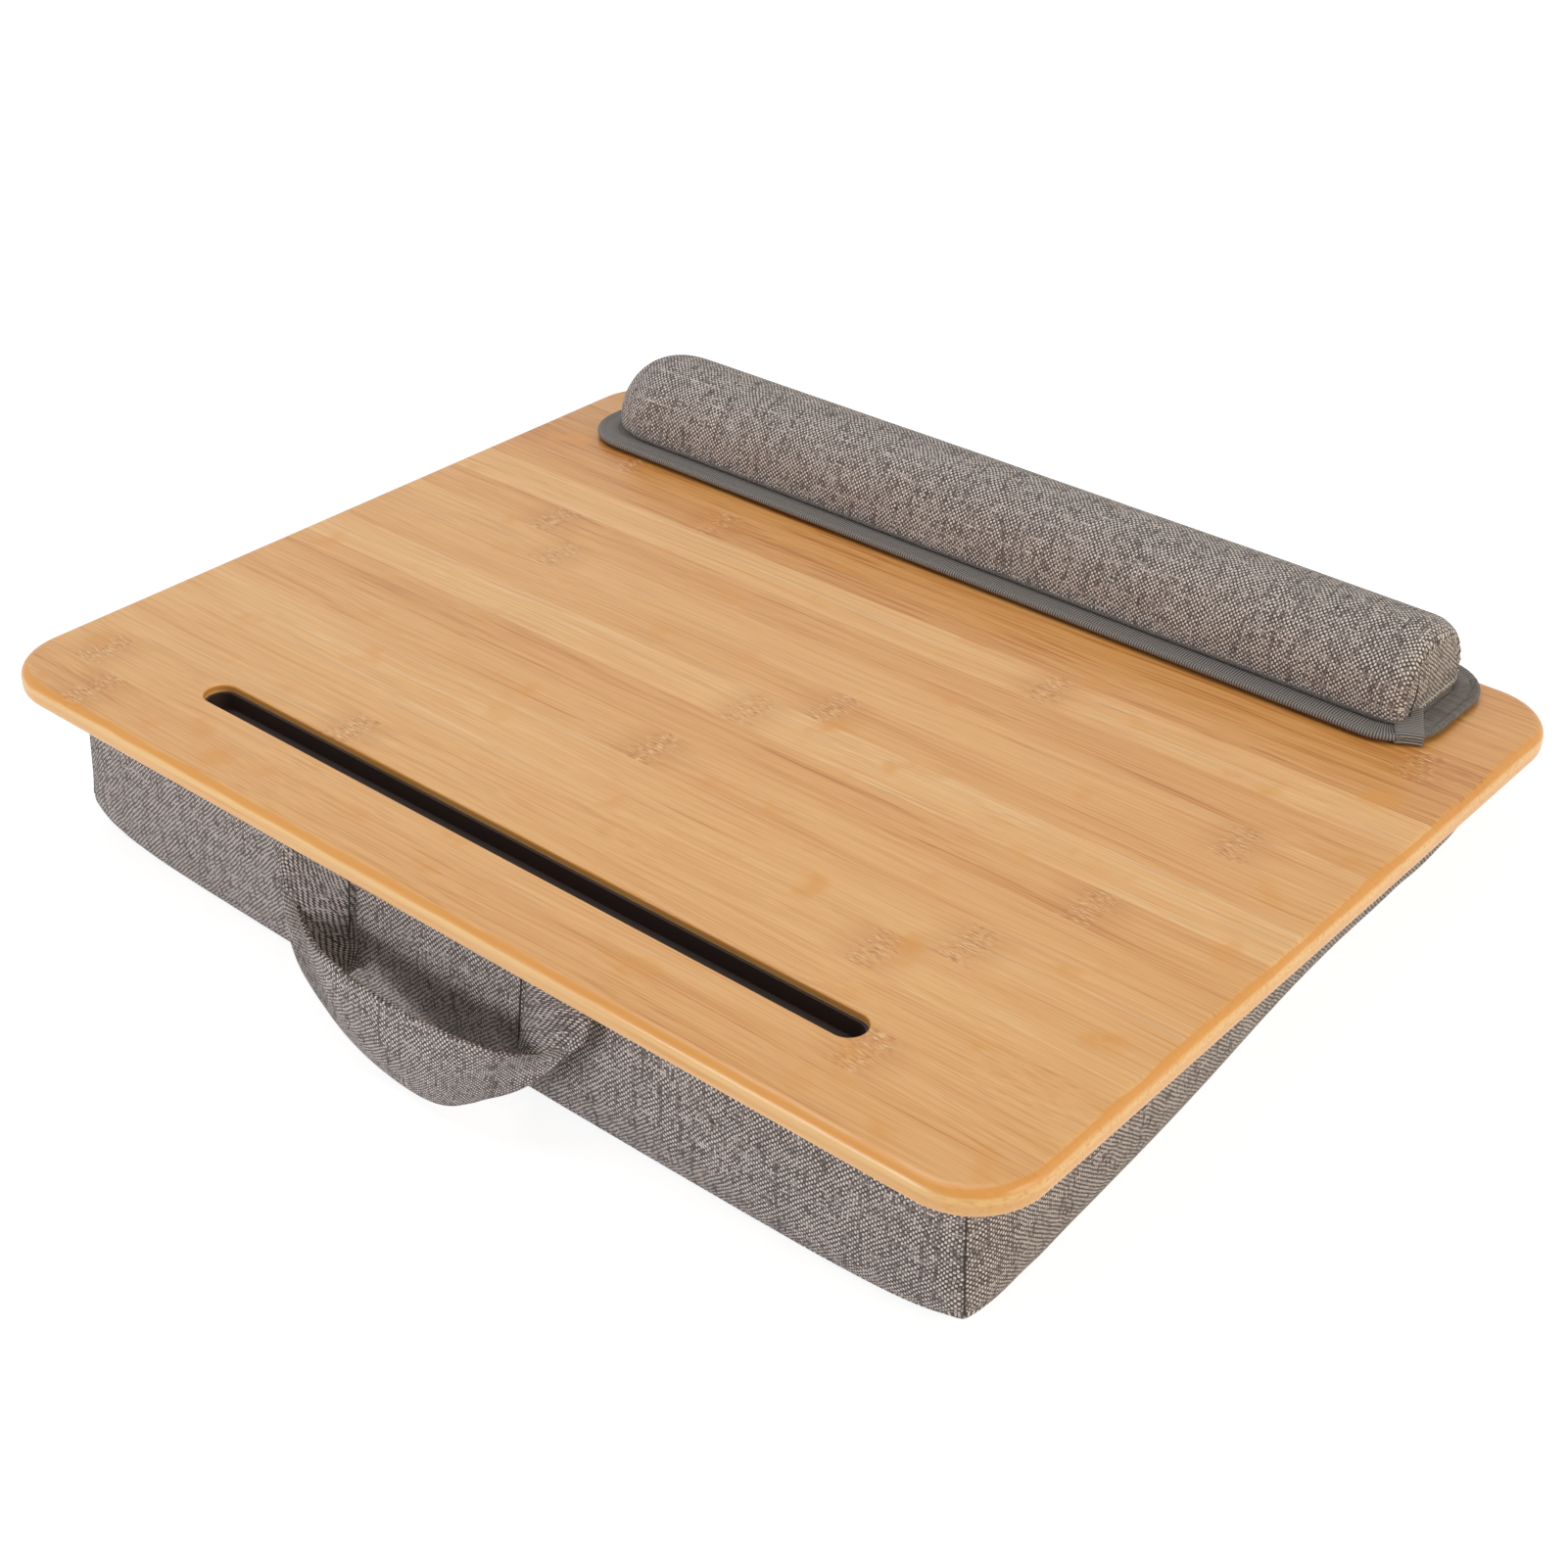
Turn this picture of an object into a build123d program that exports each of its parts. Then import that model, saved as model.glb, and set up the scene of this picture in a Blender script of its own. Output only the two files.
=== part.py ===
from build123d import *
import math
import os

# A lap tray: a bamboo board on a wedge-shaped cushion, with a padded wrist rest on top
# and a cloth handle sewn to the cushion's front. Millimetres, +Z up, the cushion's flat
# underside on Z = 0 with its centre at the origin. The slot and the handle face -Y, the
# wrist rest lies on the +Y side, and X runs along the board's width.

# Bamboo board
board_width = 450.0
board_depth = 346.0
board_thickness = 10.5
board_corner_radius = 26.0
board_edge_radius = 4.0
wedge_angle = 5.0

# Device slot through the board, and the black liner pressed into it
slot_end_margin = 75.0
slot_width = 12.7
slot_front_margin = 34.0
slot_lip_radius = 0.8
liner_drop = 3.0
liner_wall = 1.0
liner_floor = 1.0
liner_fit = 0.1

# Cushion: corner to corner at its seams, with cloth panels round a foam core
cushion_side_margin = 22.5
cushion_end_margin = 21.0
cushion_front_height = 52.5
cloth_thickness = 1.5
top_bow = 4.0
side_bow = 7.0
seam_bow = 5.0
belly_bow = 1.0
belly_height = 9.0
belly_shoulder_drop = 4.5
belly_shoulder_inset = 2.5
belly_low_drop = 7.8
belly_low_inset = 13.0
rest_inset = 42.0
rest_flat_depth = 0.5
foam_gap = 0.3

# Backing panel inside the cover, screwed up into the board
backing_thickness = 3.0
backing_margin = 9.0
backing_corner_radius = 8.0
screw_length = 11.0
screw_radius = 1.75
screw_head_radius = 3.6
screw_head_height = 2.0
screw_fit = 0.1
screw_columns = 4
screw_margin_x = 22.0
screw_margin_y = 40.0

# Handle: one cloth band, sewn to the front panel along two upright seams
handle_shift = -4.0
handle_seam_half_span = 40.0
handle_turn_half_span = 62.0
handle_turn_radius = 8.75
handle_reach = 27.0
handle_thickness = 2.5
handle_width = 43.0
handle_top_drop = 7.5
handle_sag = 12.0
handle_split_gap = 0.4

# Wrist rest: a padded D-shaped bolster on a bound base cloth
rest_side_margin = 24.0
rest_depth = 65.0
rest_shift = -3.5
rest_back_margin = 0.7
rest_corner_radius = 21.0
rest_base_thickness = 1.2
binding_thickness = 0.6
binding_width = 6.0
binding_tab_length = 26.0
binding_tab_width = 9.0
binding_tab_inset = 15.0
bolster_height = 30.5
bolster_front_margin = 8.5
bolster_back_margin = 6.5
bolster_left_margin = 9.5
bolster_right_margin = 11.5
bolster_end_radius = 13.0
bolster_wall = 1.2

# Hook and loop strips that hold the wrist rest on the board
strip_thickness = 1.0
strip_width = 18.0
strip_end_margin = 26.0
strip_side_margin = 8.5

# One overrun makes every cutting tool pass clear of what it cuts
cut_over = 40.0

# Sizes that follow the piece beneath or around them
slot_length = board_width - 2 * slot_end_margin
cushion_width = board_width - 2 * cushion_side_margin
cushion_depth = board_depth - 2 * cushion_end_margin
rest_width = board_width - 2 * rest_side_margin
bolster_width = rest_width - bolster_left_margin - bolster_right_margin
bolster_depth = rest_depth - bolster_front_margin - bolster_back_margin
strip_length = rest_width - 2 * strip_end_margin
strip_spacing = rest_depth - 2 * strip_side_margin - strip_width

# Places worked out from the sizes above, in the board's own tilted frame:
# x and y on its top face from the centre, z = 0 at that face, negative below it
underside_z = -board_thickness
backing_top_z = underside_z - cloth_thickness
backing_bottom_z = backing_top_z - backing_thickness
cushion_front_y = -cushion_depth / 2
cushion_back_y = cushion_depth / 2
slot_y = -board_depth / 2 + slot_front_margin + slot_width / 2
panel_face_y = cushion_front_y - side_bow
handle_top_z = underside_z - handle_top_drop
rest_centre_y = board_depth / 2 - rest_back_margin - rest_depth / 2
hooks_top_z = strip_thickness
loops_top_z = hooks_top_z + strip_thickness
base_top_z = loops_top_z + rest_base_thickness
binding_bottom_z = loops_top_z - binding_thickness
binding_top_z = base_top_z + binding_thickness
bolster_x = rest_shift - rest_width / 2 + bolster_left_margin + bolster_width / 2
bolster_y = rest_centre_y - rest_depth / 2 + bolster_front_margin + bolster_depth / 2

# The board's frame in the object's frame: the seam round the cushion's underside is level,
# belly_height above the ground, and centred over the origin
tilt = math.radians(wedge_angle)
board_y_axis = Vector(0, math.cos(tilt), -math.sin(tilt))
board_normal = Vector(0, math.sin(tilt), math.cos(tilt))
seam_depth = cushion_depth / math.cos(tilt)
front_seam_point = Vector(0, -seam_depth / 2, belly_height)
board_origin = (
    front_seam_point
    - board_y_axis * cushion_front_y
    - board_normal * (underside_z - cushion_front_height)
)
board_plane = Plane(origin=board_origin, x_dir=(1, 0, 0), z_dir=board_normal)


def on_board(shape):
    """Move a shape drawn in the board's frame to its place on the object."""
    return board_plane.location * shape


def board_point(y, z):
    """A point of the board's frame, at x = 0, in the object's frame."""
    return board_origin + board_y_axis * y + board_normal * z


def slab(low_z, high_z):
    """A block in the board's frame, wider than the part, between two heights."""
    block = Box(
        board_width + cut_over,
        board_depth + cut_over,
        high_z - low_z,
        align=(Align.CENTER, Align.CENTER, Align.MIN),
    )
    return Pos(0, 0, low_z) * block


def save(name, shape):
    """Write one named piece as a STEP file."""
    shape.label = name
    export_step(shape, os.path.join("parts", name + ".step"))


def make_tray_board():
    """The bamboo board with its rounded rim, device slot and screw holes."""
    plan = RectangleRounded(board_width, board_depth, board_corner_radius)
    board = Pos(0, 0, underside_z) * extrude(plan, board_thickness)
    rims = board.faces().filter_by(Axis.Z).edges()
    board = fillet(rims, board_edge_radius)
    slot = SlotOverall(slot_length, slot_width)
    cut = Pos(0, slot_y, underside_z - cut_over) * extrude(slot, board_thickness + 2 * cut_over)
    board -= cut
    lip = board.faces().sort_by(Axis.Z)[-1].inner_wires()[0].edges()
    board = fillet(lip, slot_lip_radius)
    return on_board(cut_screw_holes(board))


def make_slot_liner():
    """The black trough inside the slot, its rim a little below the board's top."""
    height = board_thickness - liner_drop
    outer = SlotOverall(slot_length - 2 * liner_fit, slot_width - 2 * liner_fit)
    hollow = liner_fit + liner_wall
    inner = SlotOverall(slot_length - 2 * hollow, slot_width - 2 * hollow)
    trough = extrude(outer, height) - Pos(0, 0, liner_floor) * extrude(inner, height)
    return on_board(Pos(0, slot_y, underside_z) * trough)


def cushion_outline(front, back, half_width, bow):
    """One cross-section of the cushion: four sides bowed outwards between its corners.

    front and back are the points at x = 0 on the two long sides, and bow is how far
    each side stands out at its middle.
    """
    run = (back - front).normalized()
    across = Vector(half_width, 0, 0)
    middle = (front + back) * 0.5
    corners = [front - across, front + across, back + across, back - across]
    crests = [
        front - run * bow,
        middle + Vector(half_width + bow, 0, 0),
        back + run * bow,
        middle - Vector(half_width + bow, 0, 0),
    ]
    sides = []
    for index, crest in enumerate(crests):
        sides.append(ThreePointArc(corners[index], crest, corners[(index + 1) % len(corners)]))
    return Face(Wire(sides))


def cushion_form(inset):
    """The stuffed wedge in two halves that meet at the level of its lower seam.

    inset draws every side in by a wall thickness.
    """
    half_width = cushion_width / 2 - inset
    top_front = board_point(cushion_front_y + inset, underside_z - inset)
    top_back = board_point(cushion_back_y - inset, underside_z - inset)
    seam_front = Vector(0, -seam_depth / 2 + inset, belly_height)
    seam_back = Vector(0, seam_depth / 2 - inset, belly_height)
    waist_front = (top_front + seam_front) * 0.5
    waist_back = (top_back + seam_back) * 0.5
    upper = loft(
        [
            cushion_outline(top_front, top_back, half_width, top_bow),
            cushion_outline(waist_front, waist_back, half_width, side_bow),
            cushion_outline(seam_front, seam_back, half_width, seam_bow),
        ]
    )
    belly_steps = [
        (0.0, 0.0, seam_bow),
        (belly_shoulder_drop - inset, belly_shoulder_inset, seam_bow),
        (belly_low_drop - inset, belly_low_inset, belly_bow),
        (belly_height + rest_flat_depth - inset, rest_inset, belly_bow),
    ]
    outlines = []
    for drop, drawn_in, bow in belly_steps:
        reach = seam_depth / 2 - inset - drawn_in
        level = belly_height - drop
        front = Vector(0, -reach, level)
        back = Vector(0, reach, level)
        outlines.append(cushion_outline(front, back, half_width - drawn_in, bow))
    return upper, loft(outlines)


def above_ground(shape):
    """Cut a shape flat at Z = 0, where the object stands."""
    size = board_width + cut_over
    ground = Box(size, size, cut_over, align=(Align.CENTER, Align.CENTER, Align.MAX))
    return shape - ground


def side_sector(quarter_turns):
    """The upright wedge of space behind one side of the cushion.

    Its two flat walls pass through the cushion's corners; 0 is the front.
    """
    reach_share = 2.0
    half_x = cushion_width / 2 * reach_share
    half_y = cushion_depth / 2 * reach_share
    corners = [(-half_x, -half_y), (half_x, -half_y), (half_x, half_y), (-half_x, half_y)]
    first = corners[quarter_turns]
    second = corners[(quarter_turns + 1) % len(corners)]
    height = cushion_front_height + cut_over
    sector = extrude(make_face(Polyline((0, 0), first, second, close=True)), height)
    return on_board(Pos(0, 0, underside_z - height) * sector)


def make_side_panels(upper_outer, upper_inner):
    """The four cloth panels round the cushion, sewn together at its corners."""
    ring = upper_outer - upper_inner
    ring -= on_board(slab(backing_top_z, underside_z + cut_over))
    names = ["cushion_front_panel", "cushion_right_panel", "cushion_back_panel", "cushion_left_panel"]
    return {name: ring & side_sector(turns) for turns, name in enumerate(names)}


def make_backing_panel():
    """The hardboard panel inside the cover, with a countersunk hole for each screw."""
    plan = RectangleRounded(
        cushion_width - 2 * backing_margin, cushion_depth - 2 * backing_margin, backing_corner_radius
    )
    panel = Pos(0, 0, backing_bottom_z) * extrude(plan, backing_thickness)
    return on_board(cut_screw_holes(panel))


def make_top_cloth(upper_outer):
    """The cover's top panel, held between the board and the backing panel."""
    layer = upper_outer & on_board(slab(backing_top_z, underside_z))
    return layer - on_board(screw_clearance())


def make_foam_core():
    """The foam wedge that fills the cover below the backing panel."""
    upper, lower = cushion_form(cloth_thickness + foam_gap)
    core = upper + lower
    return core - on_board(slab(backing_bottom_z, underside_z + cut_over))


def screw_places():
    """Centres of the screws, in two rows of equal steps along the width."""
    span = cushion_width - 2 * screw_margin_x
    row = cushion_depth / 2 - screw_margin_y
    step = span / (screw_columns - 1)
    columns = [-span / 2 + step * column for column in range(screw_columns)]
    return [Pos(x, y, 0) for y in (-row, row) for x in columns]


def screw_shape(extra):
    """One countersunk wood screw, point up, its head flush with the backing panel.

    extra is added all round, to make the hole that the screw passes through.
    """
    shank = Cylinder(
        screw_radius + extra,
        screw_length + extra,
        align=(Align.CENTER, Align.CENTER, Align.MIN),
    )
    head = Cone(
        screw_head_radius + extra,
        screw_radius + extra,
        screw_head_height,
        align=(Align.CENTER, Align.CENTER, Align.MIN),
    )
    return Pos(0, 0, backing_bottom_z) * (shank + head)


def screw_clearance():
    """All the screw holes as one tool."""
    return Compound([place * screw_shape(screw_fit) for place in screw_places()])


def cut_screw_holes(shape):
    """Cut every screw's hole in a piece drawn in the board's frame."""
    for place in screw_places():
        shape -= place * screw_shape(screw_fit)
    return shape


def make_screws():
    """The screws that hold the backing panel, and with it the cushion, to the board."""
    return on_board(Compound([place * screw_shape(0.0) for place in screw_places()]))


def band_plan(shift):
    """One face of the handle's cloth, seen from above, from the right seam to the left.

    It runs out along the panel, turns back on itself round a slack fold, and crosses
    in front in one long arc. shift moves it off the middle of the cloth's thickness.
    Places are x and the distance outwards from the panel.
    """
    turn_centre = Vector(handle_turn_half_span, handle_thickness / 2 + handle_turn_radius)
    rise = handle_reach - turn_centre.Y
    front_radius = (turn_centre.X**2 + rise**2 - handle_turn_radius**2) / (
        2 * (rise - handle_turn_radius)
    )
    front_centre = Vector(0, handle_reach - front_radius)
    aim = (turn_centre - front_centre).normalized()
    touch = turn_centre + aim * (handle_turn_radius + shift)
    near = handle_thickness / 2 - shift
    start = Vector(handle_seam_half_span, near)
    fold = Vector(handle_turn_half_span, near)
    widest = turn_centre + Vector(handle_turn_radius + shift, 0)
    crest = Vector(0, handle_reach + shift)

    def other(point):
        return Vector(-point.X, point.Y)

    return [
        Line(start, fold),
        ThreePointArc(fold, widest, touch),
        ThreePointArc(touch, crest, other(touch)),
        ThreePointArc(other(touch), other(widest), other(fold)),
        Line(other(fold), other(start)),
    ]


def band_solid():
    """The handle's whole cloth band, straight-sided, before its edges are shaped."""
    outer = band_plan(handle_thickness / 2)
    inner = band_plan(-handle_thickness / 2)
    ends = [Line(outer[0] @ 0, inner[0] @ 0), Line(outer[-1] @ 1, inner[-1] @ 1)]
    plan = make_face(outer + inner + ends)
    height = handle_width + handle_sag
    band = extrude(plan, height)
    # The plan's outward direction is -Y, so it is turned over about X, top edge up
    return Pos(handle_shift, panel_face_y, handle_top_z) * Rot(180, 0, 0) * band


def sagging_strip():
    """The space between the handle's two long edges, which sag at the middle."""
    half = handle_turn_half_span + handle_turn_radius + handle_thickness
    top_left = Vector(-half, handle_top_z)
    top_right = Vector(half, handle_top_z)
    drop = Vector(0, handle_width)
    crest = Vector(0, handle_top_z - handle_sag)
    edges = [
        ThreePointArc(top_left, crest, top_right),
        Line(top_right, top_right - drop),
        ThreePointArc(top_right - drop, crest - drop, top_left - drop),
        Line(top_left - drop, top_left),
    ]
    strip = extrude(Plane.XZ * make_face(edges), handle_reach + cut_over)
    return Pos(handle_shift, panel_face_y + cut_over / 2, 0) * strip


def outward_half(distance):
    """All the space further out from the panel than a distance, round the handle."""
    block = Box(
        board_width,
        handle_reach + cut_over,
        board_thickness + handle_top_drop + handle_width + handle_sag + cut_over,
        align=(Align.CENTER, Align.MAX, Align.MAX),
    )
    return Pos(0, panel_face_y - distance, 0) * block


def make_handle_strap():
    """The part of the handle that swings: the band's front, between its two folds."""
    split = handle_thickness / 2 + handle_turn_radius + handle_split_gap / 2
    return on_board(band_solid() & sagging_strip() & outward_half(split))


def make_handle_end(side, cushion_body):
    """One sewn end of the handle, from its seam on the panel out to the slack fold."""
    split = handle_thickness / 2 + handle_turn_radius - handle_split_gap / 2
    height = handle_width + handle_sag
    flap_depth = handle_thickness + side_bow
    flap = Box(
        handle_turn_half_span - handle_seam_half_span,
        flap_depth,
        height,
        align=(Align.MIN, Align.MIN, Align.MAX),
    )
    flap = Pos(handle_seam_half_span, panel_face_y - handle_thickness, handle_top_z) * flap
    flap = Pos(handle_shift, 0, 0) * (flap if side > 0 else mirror(flap, Plane.YZ))
    end = (band_solid() - outward_half(split)) + flap
    low_z = handle_top_z - handle_width
    keep = Box(
        board_width,
        board_depth,
        handle_width,
        align=(Align.MIN if side > 0 else Align.MAX, Align.CENTER, Align.MIN),
    )
    end = end & (Pos(handle_shift, cushion_front_y, low_z) * keep)
    return on_board(end) - cushion_body


def rest_plate(grow, low_z, high_z):
    """A plate of the wrist rest's outline, grown or shrunk all round."""
    plan = RectangleRounded(
        rest_width + 2 * grow, rest_depth + 2 * grow, rest_corner_radius + grow
    )
    return Pos(rest_shift, rest_centre_y, low_z) * extrude(plan, high_z - low_z)


def make_rest_base():
    """The wrist rest's base cloth, which shows as a flange round the bolster."""
    return on_board(rest_plate(0.0, loops_top_z, base_top_z))


def make_rest_binding():
    """The ribbed tape folded over the base cloth's edge all round."""
    tape = rest_plate(binding_thickness, binding_bottom_z, binding_top_z)
    tape -= rest_plate(-binding_width, binding_bottom_z, binding_top_z)
    return on_board(tape - rest_plate(0.0, loops_top_z, base_top_z))


def make_rest_binding_tab():
    """The tape's tail, lapped over its start at the front right corner."""
    ring = rest_plate(binding_thickness, binding_top_z, binding_top_z + binding_thickness)
    ring -= rest_plate(-binding_width, binding_top_z, binding_top_z + binding_thickness)
    tail = Box(
        binding_tab_width,
        binding_tab_length,
        rest_depth,
        align=(Align.CENTER, Align.CENTER, Align.CENTER),
    )
    corner_x = rest_shift + rest_width / 2 - binding_tab_inset
    corner_y = rest_centre_y - rest_depth / 2 + binding_width / 2
    tail = Pos(corner_x, corner_y, binding_top_z) * tail
    return on_board(ring & tail)


def bolster_form(inset):
    """The bolster: a round-backed loaf, flat below, with rounded ends.

    Its end rounding stays small enough to reach the flat foot, which is its wall.
    """
    half = bolster_depth / 2
    radius = (half**2 + bolster_height**2) / (2 * bolster_height)
    centre_z = bolster_height - radius
    reach = radius - inset
    foot = math.sqrt(reach**2 - centre_z**2)
    haunch_angle = (math.pi / 2 - math.atan2(centre_z, foot)) / 2
    haunch_out = reach * math.cos(haunch_angle)
    haunch_z = centre_z + reach * math.sin(haunch_angle)
    left = Vector(-foot, 0)
    right = Vector(foot, 0)
    crest = Vector(0, centre_z + reach)
    outline = [
        ThreePointArc(left, Vector(-haunch_out, haunch_z), crest),
        ThreePointArc(crest, Vector(haunch_out, haunch_z), right),
        Line(right, left),
    ]
    section = Plane.YZ * make_face(outline)
    length = bolster_width - 2 * inset
    loaf = Pos(-length / 2, 0, 0) * extrude(section, length)
    ends = loaf.faces().filter_by(Axis.X).edges().filter_by(GeomType.CIRCLE)
    end_wall_share = 0.9
    end_radius = min(bolster_end_radius, (radius - centre_z) * end_wall_share)
    loaf = fillet(ends, end_radius - inset)
    return Pos(bolster_x, bolster_y, base_top_z) * loaf


def make_strips(low_z):
    """Two long strips of hook or loop tape, side by side under the wrist rest."""
    strip = Box(
        strip_length,
        strip_width,
        strip_thickness,
        align=(Align.CENTER, Align.CENTER, Align.MIN),
    )
    places = [
        Pos(rest_shift, rest_centre_y + side * strip_spacing / 2, low_z) for side in (-1, 1)
    ]
    return on_board(Compound([place * strip for place in places]))


def main():
    """Build every piece and write it under its own name."""
    os.makedirs("parts", exist_ok=True)
    upper_outer, lower_outer = cushion_form(0.0)
    upper_inner, lower_inner = cushion_form(cloth_thickness)

    save("tray_board", make_tray_board())
    save("slot_liner", make_slot_liner())
    save("backing_panel", make_backing_panel())
    save("backing_screws", make_screws())
    save("cushion_top_cloth", make_top_cloth(upper_outer))
    for name, panel in make_side_panels(upper_outer, upper_inner).items():
        save(name, panel)
    save("cushion_bottom_panel", above_ground(lower_outer - lower_inner))
    save("cushion_foam", make_foam_core())

    save("handle_end_right", make_handle_end(1, upper_outer))
    save("handle_end_left", make_handle_end(-1, upper_outer))
    save("handle_strap", make_handle_strap())

    save("rest_hook_strips", make_strips(0.0))
    save("rest_loop_strips", make_strips(hooks_top_z))
    save("rest_base_cloth", make_rest_base())
    save("rest_binding", make_rest_binding())
    save("rest_binding_tab", make_rest_binding_tab())
    save("rest_cover", on_board(bolster_form(0.0) - bolster_form(bolster_wall)))
    save("rest_foam", on_board(bolster_form(bolster_wall + foam_gap)))


main()
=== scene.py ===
"""A bamboo lap tray on a wedge cushion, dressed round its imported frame.

The board, its slot liner and the hard inner pieces are the frame's own solids. The
cushion, its handle and the wrist rest are cloth, modelled here in their place.
"""

import logging
import math
from dataclasses import dataclass, field
from enum import Enum
from itertools import accumulate
from typing import Callable, Iterable, Union

import bmesh
import bpy
from mathutils import Matrix, Vector
from mathutils.bvhtree import BVHTree


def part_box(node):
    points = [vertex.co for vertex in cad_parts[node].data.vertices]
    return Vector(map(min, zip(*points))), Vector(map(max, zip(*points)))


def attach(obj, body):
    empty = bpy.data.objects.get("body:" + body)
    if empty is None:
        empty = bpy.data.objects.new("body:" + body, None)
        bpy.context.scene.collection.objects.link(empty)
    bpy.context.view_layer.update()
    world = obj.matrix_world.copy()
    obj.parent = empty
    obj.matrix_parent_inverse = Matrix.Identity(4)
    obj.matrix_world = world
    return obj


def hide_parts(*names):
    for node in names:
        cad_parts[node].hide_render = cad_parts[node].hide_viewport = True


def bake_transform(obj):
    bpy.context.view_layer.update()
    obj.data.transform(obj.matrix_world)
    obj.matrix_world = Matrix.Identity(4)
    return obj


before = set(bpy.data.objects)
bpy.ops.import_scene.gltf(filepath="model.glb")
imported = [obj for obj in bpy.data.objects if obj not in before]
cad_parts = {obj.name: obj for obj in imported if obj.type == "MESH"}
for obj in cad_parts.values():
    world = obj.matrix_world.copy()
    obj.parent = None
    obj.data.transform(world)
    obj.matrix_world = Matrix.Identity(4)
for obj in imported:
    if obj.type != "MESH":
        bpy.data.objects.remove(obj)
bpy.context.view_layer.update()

log = logging.getLogger("lap_tray")

MM = 0.001
PER_METRE = 1000.0
# What is further out than this on a box from -1 to 1 lies on its side
ON_SIDE = 1 - 1e-4
TINY = 1e-6
# Points nearer together than this are one
WELD = 0.01 * MM

Colour = tuple[float, float, float, float]
Pair = tuple[float, float]
Triple = tuple[float, float, float]
Face = bmesh.types.BMFace
Material = bpy.types.Material
Mesh = bmesh.types.BMesh
Piece = bpy.types.Object
Socket = bpy.types.NodeSocket
Vertex = bmesh.types.BMVert
Paint = Union[Socket, Colour]

# The socket numbers of a Mix node that mixes colours, and of one that mixes vectors
MIX_COLOUR_A, MIX_COLOUR_B, MIX_COLOUR_OUT = 6, 7, 2
MIX_VECTOR_A, MIX_VECTOR_B, MIX_VECTOR_OUT = 4, 5, 1


class Body(Enum):
    """The bodies that a piece can ride on."""

    DESK = "desk"
    HANDLE = "handle"
    WRIST_REST = "wrist_rest"


class Slot(Enum):
    """The names of material slots for the modelled pieces."""

    COVER = "cover_cloth"
    FOAM = "foam"
    BASE = "base_mesh"
    BINDING = "binding_tape"


def srgb(code: str) -> Colour:
    """Turn a hex colour into the linear colour that a shader socket takes.

    Args:
        code: An sRGB colour such as "#C89F6D".

    Returns:
        The linear red, green, blue and alpha.
    """
    channels = [int(code[i : i + 2], 16) / 255 for i in (1, 3, 5)]
    linear = [c / 12.92 if c <= 0.04045 else ((c + 0.055) / 1.055) ** 2.4 for c in channels]
    return (linear[0], linear[1], linear[2], 1.0)


@dataclass(frozen=True)
class Recipe:
    """A material or a world under construction, and its one surface shader."""

    owner: Union[Material, bpy.types.World]
    shader: bpy.types.Node

    def add(
        self,
        kind: str,
        inputs: dict[Union[int, str], Union[Socket, float, tuple]],
        out: Union[int, str] = 0,
        **settings: object,
    ) -> Socket:
        """Add one shader node, set it and link it.

        Args:
            kind: The node's type, without the word ShaderNode.
            inputs: Sockets by name or number, each with a socket to link or a value to hold.
            out: The output that is wanted, by name or number.
            settings: The node's own properties.

        Returns:
            The output.
        """
        node = self.owner.node_tree.nodes.new("ShaderNode" + kind)
        for name, value in settings.items():
            setattr(node, name, value)
        for socket, value in inputs.items():
            if isinstance(value, Socket):
                self.owner.node_tree.links.new(value, node.inputs[socket])
            else:
                node.inputs[socket].default_value = value
        return node.outputs[out]

    def finish(self, colour: Socket, height: Socket, strength: float, depth: float) -> Material:
        """Give the shader its colour and its relief.

        Args:
            colour: The base colour.
            height: The relief, from 0 to 1.
            strength: The share of the relief that shows.
            depth: The relief's real depth, in mm.

        Returns:
            The finished material.
        """
        relief = {"Height": height, "Strength": strength, "Distance": depth * MM}
        links = self.owner.node_tree.links
        links.new(colour, self.shader.inputs["Base Color"])
        links.new(self.add("Bump", relief), self.shader.inputs["Normal"])
        return self.owner


def start_material(name: str, **constants: float) -> Recipe:
    """Start a material with one Principled shader.

    Args:
        name: The material's name.
        constants: Constant shader sockets, with _ for a space in their names.

    Returns:
        The recipe.
    """
    material = bpy.data.materials.new(name)
    material.use_nodes = True
    shader = material.node_tree.nodes["Principled BSDF"]
    for socket, value in constants.items():
        shader.inputs[socket.replace("_", " ")].default_value = value
    return Recipe(material, shader)


def set_stops(
    ramp: Socket, stops: Iterable[tuple[float, Union[str, float]]], steps: bool = False
) -> Socket:
    """Give a colour ramp its stops.

    Args:
        ramp: The Color Ramp node's colour output.
        stops: Each stop's place from 0 to 1 with its hex colour or grey level, in rising order.
        steps: Whether the colour jumps from stop to stop.

    Returns:
        The same output.
    """
    stops = list(stops)
    band = ramp.node.color_ramp
    band.interpolation = "CONSTANT" if steps else "LINEAR"
    while len(band.elements) < len(stops):
        band.elements.new(1.0)
    for element, (place, paint) in zip(band.elements, stops):
        element.position = place
        element.color = srgb(paint) if isinstance(paint, str) else (paint, paint, paint, 1.0)
    return ramp


def clouds(recipe: Recipe, place: Socket, sizes: Triple, detail: float) -> Socket:
    """Return a soft random pattern.

    Args:
        recipe: The material.
        place: Where the pattern is read.
        sizes: The patches' size along x, y and z, in the units of place.
        detail: How many finer layers it has.

    Returns:
        The pattern, mostly from 0.3 to 0.7.
    """
    shares = tuple(1 / size for size in sizes)
    scaled = recipe.add("VectorMath", {0: place, 1: shares}, operation="MULTIPLY")
    return recipe.add("TexNoise", {"Vector": scaled, "Scale": 1.0, "Detail": detail}, "Fac")


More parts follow.
